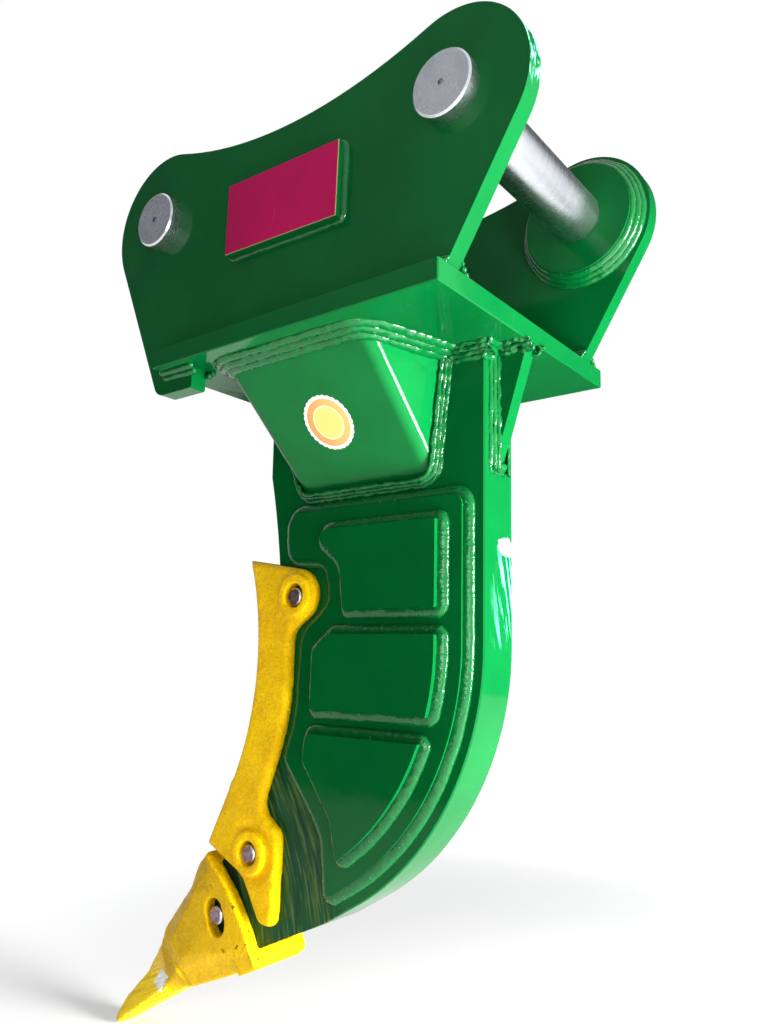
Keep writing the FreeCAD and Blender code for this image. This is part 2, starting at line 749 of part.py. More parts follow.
def pad_upper_outline():
    rear = shank_rear - pad_inset - bend_centre[0]
    low, high = pad_upper_rear_heights
    return rounded([below(point) for point in pad_upper_points]
                   + [below((rear, low, pad_corner_radius)), below((rear, high, pad_corner_radius))])


def pad_middle_outline():
    radius = shank_bend_radius - pad_inset
    high, low = pad_middle_rear_heights
    low_rear = rear_at(low, radius)
    bend_start = below((radius, 0))
    sides = rounded([below((radius, high, pad_corner_radius))] + [below(point) for point in pad_middle_points]
                    + [low_rear + (0,), bend_start + (0,)])
    return sides[:-2] + [arc_part(low_rear, bend_start, bend_centre, 1), sides[-1]]


def pad_lower_outline():
    radius = shank_bend_radius - pad_inset
    high_rear = rear_at(pad_lower_rear_height, radius)
    tip = polar(bend_centre, radius, pad_lower_tip_angle)
    sides = rounded([high_rear + (0,)] + [below(point) for point in pad_lower_points] + [tip + (0,)])
    return sides[:-1] + [arc_part(tip, high_rear, bend_centre, 1)]


pad_outlines = {"upper": pad_upper_outline, "middle": pad_middle_outline, "lower": pad_lower_outline}


# Gussets and rib

def gusset_corners():
    """Corners of the left gusset's outer form: top ring, then the toe on the shank."""
    outer = -shank_half - gusset_reach
    toe = plate_bottom - gusset_drop
    top = (plate_front + hook_length + gusset_past_hook, shank_rear - gusset_top_rear)
    foot, low = [[shank_rear - x for x in span] for span in (gusset_foot_span, gusset_toe_span)]
    return (V(top[0], outer, plate_bottom), V(top[1], outer, plate_bottom),
            V(foot[1], -shank_half, plate_bottom), V(foot[0], -shank_half, plate_bottom),
            V(low[0], -shank_half, toe), V(low[1], -shank_half, toe))


def gusset_body():
    a, b, c, d, e, f = gusset_corners()
    faces = [Part.Face(Part.makePolygon(list(ring) + [ring[0]]))
             for ring in ((a, b, c, d), (a, e, f, b), (b, f, c), (a, d, e), (d, c, f, e))]
    body = Part.makeSolid(Part.makeShell(faces))
    folds = [edge for edge in body.Edges if joins(edge, a, e) or joins(edge, b, f)]
    return body.makeFillet(gusset_fold_radius, folds).Solids[0]


def joins(edge, p, q):
    ends = [v.Point for v in edge.Vertexes]
    return min(ends[0].distanceToPoint(p) + ends[1].distanceToPoint(q),
               ends[0].distanceToPoint(q) + ends[1].distanceToPoint(p)) < 0.01


def gusset():
    """A plate folded twice, open at the base plate and at the shank."""
    body = gusset_body()
    open_faces = [face for face in body.Faces
                  if face.BoundBox.ZMin > plate_bottom - 0.01 or face.BoundBox.YMin > -shank_half - 0.01]
    return body.makeThickness(open_faces, -gusset_wall, 0.001)


def unit(vector):
    result = V(vector)
    result.normalize()
    return result


def grown_ring(corners, along, out):
    """The corners of a flat ring moved outwards, square to its sides."""
    middle = (corners[0] + corners[2]) * 0.5
    moved = []
    for i, corner in enumerate(corners):
        sides = (unit(corner - corners[i - 1]), unit(corners[(i + 1) % len(corners)] - corner))
        square = [side.cross(along) for side in sides]
        square = [s * (1 if s.dot(corner - middle) > 0 else -1) for s in square]
        moved.append(corner + (square[0] + square[1]) * (out / (1 + square[0].dot(square[1]))))
    return moved


def softened_ring(corners, along, folds, radius):
    """The ring as a polygon, with its fold corners rounded in three chords."""
    points = []
    for i, corner in enumerate(corners):
        if i not in folds:
            points.append(corner)
            continue
        a, b = unit(corners[i - 1] - corner), unit(corners[(i + 1) % len(corners)] - corner)
        half = math.acos(a.dot(b)) / 2
        centre = corner + unit(a + b) * (radius / math.sin(half))
        start = corner + a * (radius / math.tan(half)) - centre
        turn = math.degrees(math.pi - 2 * half) * (1 if a.cross(b).dot(along) < 0 else -1)
        points += [centre + FreeCAD.Rotation(along, turn * k / 3).multVec(start) for k in range(4)]
    return Part.makePolygon(points + points[:1])


def skirt(near, far, depth, along, folds, leg_out, leg_up, passes):
    """A bead all round a tapered body where it meets a wall. Its corners run from near to far."""
    rings = []
    for out, up in bead_steps(leg_out, leg_up, passes):
        section = [p + (q - p) * (up / depth) for p, q in zip(near, far)]
        rings.append(softened_ring(grown_ring(section, along, out), along, folds, gusset_fold_radius + out))
    return Part.makeLoft(rings, True, True)


def gusset_weld():
    a, b, c, d, e, f = gusset_corners()
    under_plate = skirt((a, b, c, d), (e, f, f, e), gusset_drop, V(0, 0, -1), (0, 1),
                        gusset_plate_leg, gusset_panel_leg, 1)
    on_shank = skirt((e, f, c, d), (a, b, b, a), gusset_reach, V(0, -1, 0), (0, 1),
                     gusset_shank_leg, gusset_panel_leg, 1)
    reach = gusset_reach + gusset_plate_leg + 1
    keep = Part.makeBox(plate_rear - plate_front, reach, gusset_drop + 2 * gusset_panel_leg,
                        V(plate_front, -shank_half - reach, plate_bottom - gusset_drop - 2 * gusset_panel_leg))
    return fused([under_plate, on_shank]).common(keep).cut(gusset_body())


def rib_outline():
    return rounded([(shank_rear, plate_bottom, 0), (shank_rear + rib_reach, plate_bottom, 0),
                    (shank_rear, plate_bottom - rib_drop, 0)])


def rib_welds():
    leg = rib_weld_leg
    half = rib_thickness / 2
    top_start = V(shank_rear, -half, plate_bottom)
    top_end = V(shank_rear + rib_reach - 1, -half, plate_bottom)
    toe = V(shank_rear, -half, plate_bottom - rib_drop)
    left = fused([straight_bead(top_start, top_end, V(0, -1, 0), V(0, 0, -1), leg, leg, 2),
                  straight_bead(top_start, toe, V(0, -1, 0), V(1, 0, 0), leg, leg * 0.8, 2)])
    left = left.cut(slab(rib_outline(), -half, half))
    return [left, mirrored(left)]


# Ear and hook welds

def ear_weld():
    """Both fillets of the left ear along the base plate's top."""
    length_end = meeting(polar(link_centre, rear_lug_radius, -ear_rear_lean), -90 - ear_rear_lean, (0, plate_top), 0)
    start, end = V(plate_front, 0, plate_top), V(length_end[0], 0, plate_top)
    inner = straight_bead(start + V(0, -ear_inner_half, 0), end + V(0, -ear_inner_half, 0), V(0, 1, 0), V(0, 0, 1),
                          ear_inner_weld_leg, ear_inner_weld_leg, 2)
    outer = straight_bead(start + V(0, -ear_outer_half, 0), end + V(0, -ear_outer_half, 0), V(0, -1, 0), V(0, 0, 1),
                          ear_outer_weld_leg, ear_outer_weld_leg, 2)
    return [inner, outer]


def hook_weld():
    """Fillets of the left hook under the base plate."""
    start, end = V(plate_front, 0, plate_bottom), V(plate_front + hook_length, 0, plate_bottom)
    beads = []
    for y, way in ((-ear_outer_half, -1), (-ear_inner_half, 1)):
        beads.append(straight_bead(start + V(0, y, 0), end + V(0, y, 0), V(0, way, 0), V(0, 0, -1),
                                   hook_weld_leg, hook_weld_leg, 2))
    return beads


# Write every piece

ear_left = ear()
save("ear_left", ear_left)
save("ear_right", mirrored(ear_left))
save("base_plate", base_plate())
save("name_plate", name_plate())
save("name_plate_weld", rim_bead(name_outline(), -ear_outer_half, -1, name_weld_leg, name_weld_leg))

pin_centres = (stick_centre, link_centre)
left_bosses = [boss(centre) for centre in pin_centres]
left_boss_beads = [round_bead(centre, boss_radius, -ear_inner_half, 1, boss_weld_leg, boss_thickness - boss_weld_margin, 0)
                   for centre in pin_centres]
save("bosses_left", Part.makeCompound(left_bosses))
save("bosses_right", Part.makeCompound([mirrored(disc) for disc in left_bosses]))
save("boss_welds_left", Part.makeCompound(left_boss_beads))
save("boss_welds_right", Part.makeCompound([mirrored(bead) for bead in left_boss_beads]))
save("stick_pin", hitch_pin(stick_centre))
save("link_pin", hitch_pin(link_centre))
save("collars", Part.makeCompound([collar(centre) for centre in pin_centres]))
save("collar_welds", Part.makeCompound([
    round_bead(centre, collar_radius, ear_outer_half, 1, collar_weld_leg, collar_weld_leg, 0)
    for centre in pin_centres]))
save("lock_bolts", Part.makeCompound([lock_bolt(centre) for centre in pin_centres]))
save("lock_nuts", Part.makeCompound(lock_nuts(stick_centre) + lock_nuts(link_centre)))

save("shank", shank())
save("protector", protector())
save("tooth", tooth())
save("cross_pins", Part.makeCompound([cross_pin(place) for place in cross_pin_places]))

left_cheek = slab(cheek_outline(), -cheek_face, -shank_half)
left_cheek_weld = rim_bead(cheek_outline(), -shank_half, -1, cheek_weld_leg, cheek_weld_rise)
save("cheek_left", left_cheek)
save("cheek_right", mirrored(left_cheek))
save("cheek_weld_left", left_cheek_weld)
save("cheek_weld_right", mirrored(left_cheek_weld))

pad_beads = []
for label, outline in pad_outlines.items():
    left_pad = slab(outline(), -pad_face, -cheek_face)
    save("pad_" + label + "_left", left_pad)
    save("pad_" + label + "_right", mirrored(left_pad))
    pad_beads.append(rim_bead(outline(), -cheek_face, -1, pad_weld_leg, pad_weld_rise))
save("pad_welds_left", Part.makeCompound(pad_beads))
save("pad_welds_right", Part.makeCompound([mirrored(bead) for bead in pad_beads]))

left_gusset = gusset()
left_gusset_weld = gusset_weld()
save("gusset_left", left_gusset)
save("gusset_right", mirrored(left_gusset))
save("gusset_weld_left", left_gusset_weld)
save("gusset_weld_right", mirrored(left_gusset_weld))
save("rear_rib", slab(rib_outline(), -rib_thickness / 2, rib_thickness / 2))
save("rib_welds", Part.makeCompound(rib_welds()))

ear_beads = ear_weld()
save("ear_welds", Part.makeCompound(ear_beads + [mirrored(bead) for bead in ear_beads]))
hook_beads = hook_weld()
save("hook_welds", Part.makeCompound(hook_beads + [mirrored(bead) for bead in hook_beads]))
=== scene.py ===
import math

import bpy
from mathutils import Matrix, Vector


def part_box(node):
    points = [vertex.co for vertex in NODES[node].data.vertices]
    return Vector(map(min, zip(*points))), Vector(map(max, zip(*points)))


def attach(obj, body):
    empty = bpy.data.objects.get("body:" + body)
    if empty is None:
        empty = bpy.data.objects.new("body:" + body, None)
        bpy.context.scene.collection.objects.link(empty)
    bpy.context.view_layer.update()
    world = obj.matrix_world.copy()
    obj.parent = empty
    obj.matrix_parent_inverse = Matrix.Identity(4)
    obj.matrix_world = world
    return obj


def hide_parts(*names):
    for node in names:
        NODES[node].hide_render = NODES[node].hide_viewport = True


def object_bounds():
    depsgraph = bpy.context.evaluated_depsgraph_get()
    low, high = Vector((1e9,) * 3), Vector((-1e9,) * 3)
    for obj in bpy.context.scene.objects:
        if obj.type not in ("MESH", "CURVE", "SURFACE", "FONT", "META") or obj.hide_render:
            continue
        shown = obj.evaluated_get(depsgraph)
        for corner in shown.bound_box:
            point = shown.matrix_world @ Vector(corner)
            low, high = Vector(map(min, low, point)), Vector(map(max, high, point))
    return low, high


bl_info = {
    "name": "Ripper shank tooth",
    "version": (1, 0, 0),
    "blender": (4, 5, 0),
    "location": "View3D > Sidebar > Ripper",
    "description": "Dresses a single shank excavator ripper: enamel, castings, pins and weld beads",
    "category": "Object",
}

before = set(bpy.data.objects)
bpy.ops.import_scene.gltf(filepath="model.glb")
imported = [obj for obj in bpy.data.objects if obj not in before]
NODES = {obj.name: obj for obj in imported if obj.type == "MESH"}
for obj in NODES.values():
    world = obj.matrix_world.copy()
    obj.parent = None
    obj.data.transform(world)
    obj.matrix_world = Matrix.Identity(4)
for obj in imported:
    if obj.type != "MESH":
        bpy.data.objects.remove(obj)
CAD_BOX = [list(corner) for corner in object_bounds()]
PROPS = "ripper_settings"

# Places and sizes taken from the frame

PLATE_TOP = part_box("base_plate")[1].z
PLATE_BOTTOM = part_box("base_plate")[0].z
SHANK_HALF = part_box("shank")[1].y
SHANK_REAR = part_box("shank")[1].x
EAR_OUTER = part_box("ear_right")[1].y
EAR_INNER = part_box("ear_right")[0].y
CHEEK_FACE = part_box("cheek_right")[1].y
NAME_PLATE_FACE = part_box("name_plate")[0].y

# Centres as x and z, and radii

PINS = ((0.0, 0.0), (0.555, 0.0))
CROSS_PINS = ((0.168, -0.602), (0.086, -1.000), (0.018, -1.103))
CROSS_PIN_RADIUS = 0.014
BOSS_RADIUS = 0.088
COLLAR_RADIUS = 0.062
BRUSH_CENTRE = (-0.312, -1.179)

# The tooth's pin, and its forward and upward directions, as x and z

TOOTH_PIN = CROSS_PINS[2]
TOOTH_FORWARD = (-0.910, -0.4147)
TOOTH_UP = (-0.4147, 0.910)

# The fold along the tooth's sides: where it runs, its line, and how it is drawn in

FOLD_REACH = (-0.058, 0.128)
FOLD_BASE = -0.058
FOLD_RISE = 0.19
FOLD_INNER = 0.03
FOLD_DEPTHS = (0.0, 0.007, 0.015, 0.024)
FOLD_SHARE = 0.962

# The chip on the shank as y and z, and the pale patch painted as a glint on the tooth, along and across the
# tooth

CHIP_PLACE = (0.021, -0.540)
GLINT_PLACE = (0.197, -0.060)
GLINT_TILT = (0.86, 0.51)

# The gusset boxes: front and rear x of their outer face, foot and toe, then their reach and drop

GUSSET_TOP = (0.131, 0.402)
GUSSET_FOOT = (0.106, 0.440)
GUSSET_TOE = (0.170, 0.420)
GUSSET_REACH = 0.147
GUSSET_DROP = 0.185

# The seal, its place as x and y

SEAL_PLACE = (0.279, -0.1085)
SEAL_RADIUS = 0.0435
SEAL_TEETH = 30
SEAL_NOTCH = 0.955
SEAL_THICKNESS = 0.0004
SEAL_LIFT = 0.0001

# The camera solved from the photo: azimuth, elevation and roll in degrees, focal length and shift in pixels

CAMERA_PLACE = (1.0813, -0.9983, -0.7040)
CAMERA_TURNS = (36.34, -7.71, 0.75)
FOCAL_LENGTH = 835.2
PICTURE_SHIFT = (-23.97, 39.17)
PICTURE_HEIGHT = 1024.0
SENSOR_HEIGHT = 36.0

# Legs of the weld beads, along the wall and up from it

EAR_INNER_LEG = 0.017
EAR_OUTER_LEG = 0.012
HOOK_LEG = 0.013
BOSS_LEGS = (0.0165, 0.021)
COLLAR_LEG = 0.008
NAME_PLATE_LEG = 0.007
CHEEK_LEGS = (0.0145, 0.0085)
PAD_LEGS = (0.0140, 0.0085)
GUSSET_PLATE_LEGS = (0.030, 0.016)
GUSSET_SHANK_LEGS = (0.012, 0.015)
RIB_TOP_LEG = 0.015
RIB_SHANK_LEGS = (0.0155, 0.011)
RIB_TOE_LEGS = (0.013, 0.007)
SHANK_SIDE_LEGS = (0.016, 0.022)
SHANK_REAR_LEGS = (0.017, 0.023)

# How far inside the gusset's corners its bead on the plate runs, front foot to rear foot, and inside its side

GUSSET_INSETS = (0.006, 0.006, 0.004, 0.002)
GUSSET_SIDE_INSET = 0.006
GUSSET_BEND = 0.024

# The rows of a bead: each one's start behind the last in ripples, its half width and how deep it sits

ROW_STAGGER = 0.31
ROW_HALF_WIDTH = 0.64
ROW_SINK = 0.25

# Directions

UP = Vector((0, 0, 1))
DOWN = Vector((0, 0, -1))
REAR = Vector((1, 0, 0))
FRONT = Vector((-1, 0, 0))

# How near vertices are merged, and the longest edge and the rounds of cutting on the way to a rim's bead

MERGE = 0.00002
RIM_STEP = 0.004
RIM_ROUNDS = 9

# Selection and edit mode


def nothing_selected():
    if bpy.context.object and bpy.context.object.mode != "OBJECT":
        bpy.ops.object.mode_set(mode="OBJECT")
    bpy.ops.object.select_all(action="DESELECT")


def only(piece):
    nothing_selected()
    piece.select_set(True)
    bpy.context.view_layer.objects.active = piece


def edit(piece):
    only(piece)
    bpy.ops.object.mode_set(mode="EDIT")


def done():
    bpy.ops.object.mode_set(mode="OBJECT")


def pick(piece, wanted, kind="faces"):
    """In edit mode, selects the faces, edges or vertices for which wanted(element) is true."""
    mesh = piece.data
    mode, elements = {"faces": ("FACE", mesh.polygons), "edges": ("EDGE", mesh.edges),
                      "vertices": ("VERT", mesh.vertices)}[kind]
    bpy.ops.mesh.select_mode(type=mode)
    bpy.ops.mesh.select_all(action="DESELECT")
    bpy.ops.object.mode_set(mode="OBJECT")
    for element in elements:
        element.select = bool(wanted(element))
    bpy.ops.object.mode_set(mode="EDIT")


def settle(piece):
    """Moves a piece's place into its mesh."""
    only(piece)
    bpy.ops.object.transform_apply(location=True, rotation=True, scale=True)


def put(piece, matrix):
    piece.matrix_world = matrix
    settle(piece)


def apply_all(piece):
    only(piece)
    for modifier in list(piece.modifiers):
        bpy.ops.object.modifier_apply(modifier=modifier.name)


def modifier(piece, kind, **settings):
    added = piece.modifiers.new(kind.title(), kind)
    for key, value in settings.items():
        setattr(added, key, value)
    return added


def smooth(piece):
    only(piece)
    bpy.ops.object.shade_smooth()


def joined(pieces):
    """Merges the pieces into the first one and returns it."""
    nothing_selected()
    for piece in pieces:
        piece.select_set(True)
    bpy.context.view_layer.objects.active = pieces[0]
    if len(pieces) > 1:
        bpy.ops.object.join()
    return bpy.context.object


def node_copy(name, node):
    """A new piece with a copy of a CAD node's mesh, its double vertices merged."""
    piece = bpy.data.objects.new(name, NODES[node].data.copy())
    bpy.context.scene.collection.objects.link(piece)
    piece.data.materials.clear()
    edit(piece)
    bpy.ops.mesh.select_all(action="SELECT")
    bpy.ops.mesh.remove_doubles(threshold=MERGE)
    done()
    return piece


def finish_piece(piece, material, slot, *nodes):
    piece.data.materials.clear()
    piece.data.materials.append(material)
    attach(piece, "root")
    if nodes:
        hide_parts(*nodes)
    return piece


# Materials


class Wire:
    """A socket's value. Arithmetic on it adds Math nodes."""

    def __init__(self, finish, socket):
        self.finish = finish
        self.socket = socket

    def _math(self, operation, *values):
        return self.finish.node("ShaderNodeMath", {"operation": operation}, *values)[0]

    def __add__(self, other):
        return self._math("ADD", self, other)

    def __radd__(self, other):
        return self._math("ADD", other, self)

    def __sub__(self, other):
        return self._math("SUBTRACT", self, other)

    def __rsub__(self, other):
        return self._math("SUBTRACT", other, self)

    def __mul__(self, other):
        return self._math("MULTIPLY", self, other)

    def __rmul__(self, other):
        return self._math("MULTIPLY", other, self)

    def __truediv__(self, other):
        return self._math("DIVIDE", self, other)

    def __rtruediv__(self, other):
        return self._math("DIVIDE", other, self)

    def __pow__(self, other):
        return self._math("POWER", self, other)

    def __rpow__(self, other):
        return self._math("POWER", other, self)

    def larger(self, other):
        return self._math("MAXIMUM", self, other)

    def smaller(self, other):
        return self._math("MINIMUM", self, other)

    def size(self):
        return self._math("ABSOLUTE", self)


class Finish:
    """A material or a world under construction."""

    def __init__(self, name, kind="Material"):
        owners = {"Material": bpy.data.materials, "World": bpy.data.worlds}[kind]
        self.made = owners.new(name)
        self.made.use_nodes = True
        self.nodes = self.made.node_tree.nodes
        self.links = self.made.node_tree.links
        self.nodes.clear()
        self.output = self.nodes.new("ShaderNodeOutput" + kind)

    def node(self, kind, settings, *values, **named):
        """Adds a node, sets it, fills its inputs by order or by name, and returns its outputs as wires."""
        made = self.nodes.new(kind)
        for key, value in settings.items():
            setattr(made, key, value)
        inputs = [socket for socket in made.inputs if socket.enabled]
        for socket, value in zip(inputs, values):
            self._fill(socket, value)
        for key, value in named.items():
            wanted = key.replace("_", " ")
            socket = next(s for s in inputs if s.name == wanted)
            self._fill(socket, value)
        return [Wire(self, socket) for socket in made.outputs if socket.enabled]

    def _fill(self, socket, value):
        if isinstance(value, Wire):
            self.links.new(value.socket, socket)
        elif value is not None:
            socket.default_value = value

    def place(self):
        return next(w for w in self.node("ShaderNodeTexCoord", {}) if w.socket.name == "Object")

    def split(self, vector):
        return self.node("ShaderNodeSeparateXYZ", {}, vector)

    def noise(self, vector, scale, detail=2.0, roughness=0.5):
        return self.node("ShaderNodeTexNoise", {}, Vector=vector, Scale=scale, Detail=detail,
                         Roughness=roughness)[0]

    def cells(self, vector, scale):
        return self.node("ShaderNodeTexVoronoi", {"feature": "F1"}, Vector=vector, Scale=scale)[0]

    def patches(self, vector, scale, low, high, detail=2.0, roughness=0.5):
        """Noise cut to soft patches, one where the noise is past high."""
        return self.ramp(self.noise(vector, scale, detail, roughness), low, high)

    def dots(self, vector, scale, edge, core, spread, low, high):
        """Round dots, kept where noise of a coarser scale is past low."""
        return self.ramp(self.cells(vector, scale), edge, core) * self.patches(vector, spread, low, high)

    def ramp(self, value, low, high):
        """Zero below low, one above high, smooth between."""
        return self.node("ShaderNodeMapRange", {"interpolation_type": "SMOOTHSTEP", "clamp": True},
                         value, low, high, 0.0, 1.0)[0]

    def blend(self, factor, first, second):
        return self.node("ShaderNodeMix", {"data_type": "RGBA"}, factor, first, second)[0]

    def layered(self, paint, *coats):
        """Lays coats over the paint in turn, each given as its cover and its colour."""
        for cover, values in coats:
            paint = self.blend(cover, paint, colour(values))
        return paint

    def stretched(self, vector, scale):
        return self.node("ShaderNodeVectorMath", {"operation": "MULTIPLY"}, vector, scale)[0]

    def combined(self, x, y, z):
        return self.node("ShaderNodeCombineXYZ", {}, x, y, z)[0]

    def reach(self, a, b):
        """Distance from the origin of a flat pair of coordinates."""
        return (a * a + b * b) ** 0.5

    def turn(self, a, b):
        return self.node("ShaderNodeMath", {"operation": "ARCTAN2"}, a, b)[0]

    def within(self, value, middle, half, fade):
        """One where value lies inside middle plus or minus half, fading out over fade."""
        return self.ramp((value - middle).size(), half + fade, half)

    def bump(self, height, distance, strength):
        return self.node("ShaderNodeBump", {}, Strength=strength, Distance=distance, Height=height)[0]

    def close(self, shader):
        """Sends the shader to the output and returns what was made."""
        self.links.new(shader.socket, self.output.inputs["Surface"])
        return self.made

    def surface(self, **named):
        return self.close(self.node("ShaderNodeBsdfPrincipled", {}, **named)[0])


def scaled(values, share):
    return [value * share for value in values]


def colour(values):
    return (values[0], values[1], values[2], 1.0)


def along_tooth(x, z):
    """Distance forward along the tooth from its pin, for numbers or wires."""
    return (x - TOOTH_PIN[0]) * TOOTH_FORWARD[0] + (z - TOOTH_PIN[1]) * TOOTH_FORWARD[1]


def across_tooth(x, z):
    """Distance square to the tooth from its pin, for numbers or wires."""
    return (x - TOOTH_PIN[0]) * TOOTH_UP[0] + (z - TOOTH_PIN[1]) * TOOTH_UP[1]


def enamel_finish(name, base, deep, marks=None, roughness=0.07, orange_peel=520.0, shine=0.14):
    """Thick gloss enamel: cloudy depth, orange peel, dust specks and rubs, and on request painted marks."""
    finish = Finish(name)
    place = finish.place()
    patchy = finish.patches(place, 7.0, 0.32, 0.72, 3.0)
    specks = finish.dots(place, 190.0, 0.11, 0.05, 27.0, 0.56, 0.64)
    rubs = finish.patches(finish.stretched(place, (60.0, 60.0, 9.0)), 1.0, 0.66, 0.74, 3.0, 0.7)
    pale = [min(1.0, value * 2.2 + 0.10) for value in base]
    paint = finish.blend(patchy, colour(deep), colour(base))
    paint = finish.layered(paint, (specks * 0.4, pale), (rubs * 0.06, pale))
    peel = finish.noise(place, orange_peel, 2.0)
    waves = finish.noise(place, 30.0, 1.0)
    gloss = roughness + patchy * 0.03 + specks * 0.25 + rubs * 0.12
    height = peel * 0.10 + waves - specks * 0.1
    if marks:
        paint, gloss, height = marks(finish, place, paint, gloss, height)
    return finish.surface(
        Base_Color=paint, Roughness=gloss, IOR=1.5, Specular_IOR_Level=shine,
        Normal=finish.bump(height, 0.0008, 0.28))


def shank_marks(finish, place, paint, gloss, height):
    """Brush lines on the nose, a chip and pale teal streaks painted as reflections on the rear edge, paint
    run together by the tooth, and painted shade on the nose inside the tooth's socket.
    """
    x, y, z = finish.split(place)
    dx, dz = x - BRUSH_CENTRE[0], z - BRUSH_CENTRE[1]
    reach, around = finish.reach(dx, dz), finish.turn(dz, dx)
    lines = finish.noise(finish.combined(reach * 150.0, around * 6.0, y * 3.0), 1.0, 3.0, 0.62)
    broad = finish.noise(finish.combined(reach * 42.0, around * 3.0, y * 3.0), 1.0, 2.0)
    nose = finish.ramp(reach, 0.615, 0.560) * finish.ramp(z, -0.79, -0.88) * finish.ramp(x, 0.45, 0.30)
    rear = finish.ramp(x, SHANK_REAR - 0.003, SHANK_REAR - 0.001)
    ragged = finish.noise(place, 120.0, 3.0) * 0.012
    from_chip = finish.reach((y - CHIP_PLACE[0]) * 0.62, z - CHIP_PLACE[1])
    chip = rear * finish.ramp(from_chip + ragged, 0.0205, 0.0165)
    # Pale teal streaks on the rear edge: a painted reflection, laid out like scrapes
    painted_reflection_streaks = rear * finish.within(z, -0.612, 0.045, 0.03) * finish.ramp(y, -0.026, 0.02)
    painted_reflection_streaks = painted_reflection_streaks * finish.patches(
        finish.combined(y * 120.0 + z * 30.0, z * 11.0, x), 1.0, 0.50, 0.60, 3.0, 0.6)
    run = finish.ramp(z, -1.050, -1.110) * finish.ramp(x, 0.10, 0.14)
    # Painted shade: the nose inside the tooth's socket is darkened to a near black green
    socket_painted_shade = finish.ramp(along_tooth(x, z), -0.056, -0.050)
    paint = finish.layered(
        paint,
        (nose * 0.55, (0.003, 0.042, 0.014)),
        (nose * finish.ramp(lines, 0.50, 0.64) * 0.85, (0.085, 0.135, 0.030)),
        (nose * finish.ramp(lines, 0.48, 0.34) * 0.85, (0.002, 0.024, 0.010)),
        (nose * finish.ramp(broad, 0.52, 0.68) * 0.40, (0.060, 0.085, 0.014)),
        # painted reflection on the rear edge
        (painted_reflection_streaks * 0.75, (0.20, 0.72, 0.56)),
        (chip, (0.72, 0.68, 0.72)),
        # painted shade in the socket
        (socket_painted_shade, (0.002, 0.018, 0.007)))
    brushed = nose * (lines * 4.5 + broad * 5.0)
    height = height - chip * 2.0 + brushed + run * finish.noise(place, 85.0, 2.0) * 5.0
    return paint, gloss + chip * 0.35, height


def lug_marks(finish, place, paint, gloss, height):
    """Paint rubbed thin where the rear lug's edge has been slung, with pale teal painted there as a
    reflection.
    """
    x, y, z = finish.split(place)
    off_face = finish.ramp(y, 0.0002 - EAR_OUTER, 0.0008 - EAR_OUTER)
    edge = finish.ramp(x, 0.632, 0.648) * finish.within(z, 0.018, 0.030, 0.02) * off_face
    rubbed = edge * finish.patches(finish.combined(x * 60.0, y * 160.0, z * 60.0), 1.0, 0.46, 0.58, 3.0)
    # Pale teal on the rubbed edge: painted reflection
    paint = finish.layered(paint, (rubbed * 0.8, (0.22, 0.60, 0.46)))
    return paint, gloss + rubbed * 0.15, height - rubbed


def bead_marks(finish, place, paint, gloss, height):
    """Spatter and fine ripples on a weld pass, with pale specks painted on as glints."""
    ripples = finish.noise(place, 260.0, 2.0, 0.6)
    spatter_glints = finish.dots(place, 120.0, 0.20, 0.05, 36.0, 0.50, 0.60)
    # Pale green specks: painted glints on the spatter
    paint = finish.layered(paint, (spatter_glints * 0.35, (0.10, 0.42, 0.22)))
    height = height + ripples * 2.2 + finish.noise(place, 110.0, 2.0) * 3.0 + spatter_glints * 3.0
    return paint, gloss + 0.02, height


def name_plate_marks(rim, worn):
    """The face's colour stops at its edge: green sides and a thin worn line between the two."""
    def marks(finish, place, paint, gloss, height):
        behind = finish.split(place)[1] - NAME_PLATE_FACE
        ragged = (finish.noise(place, 260.0, 2.0) - 0.5) * 0.0008
        side = finish.ramp(behind + ragged, 0.0005, 0.0008)
        line = finish.within(behind + ragged, 0.0007, 0.0002, 0.0003)
        return finish.layered(paint, (side, rim), (line * 0.7, worn)), gloss, height
    return marks


def cast_enamel_finish(name, base, deep, marks=None):
    """Yellow paint over a sand casting: pebbled skin, soft pits, darker grime in the hollows, and painted
    shade in the fine grain.
    """
    finish = Finish(name)
    place = finish.place()
    cloud = finish.patches(place, 18.0, 0.36, 0.66, 5.0, 0.62)
    pits = finish.dots(place, 150.0, 0.17, 0.05, 23.0, 0.50, 0.60)
    grime = finish.patches(place, 46.0, 0.60, 0.74, 5.0, 0.65)
    grains = finish.patches(place, 250.0, 0.40, 0.62, 2.0, 0.6)
    paint = finish.blend(cloud, colour(deep), colour(base))
    paint = finish.layered(
        paint, (pits * 0.5, scaled(deep, 0.40)), (grime * 0.22, scaled(deep, 0.5)),
        # painted shade in the fine grain
        (grains * 0.30, scaled(deep, 0.62)))
    sand = finish.noise(place, 400.0, 3.0, 0.6)
    lumps = finish.noise(place, 80.0, 3.0, 0.6)
    seams = finish.noise(place, 24.0, 2.0)
    gloss = 0.24 + cloud * 0.08 + pits * 0.2 + grime * 0.15
    height = lumps + sand * 0.34 + seams * 1.3 - pits * 0.4 - grains * 0.12
    if marks:
        paint, gloss, height = marks(finish, place, paint, gloss, height)
    return finish.surface(
        Base_Color=paint, Roughness=gloss, IOR=1.45, Specular_IOR_Level=0.08,
        Normal=finish.bump(height, 0.0036, 0.85))


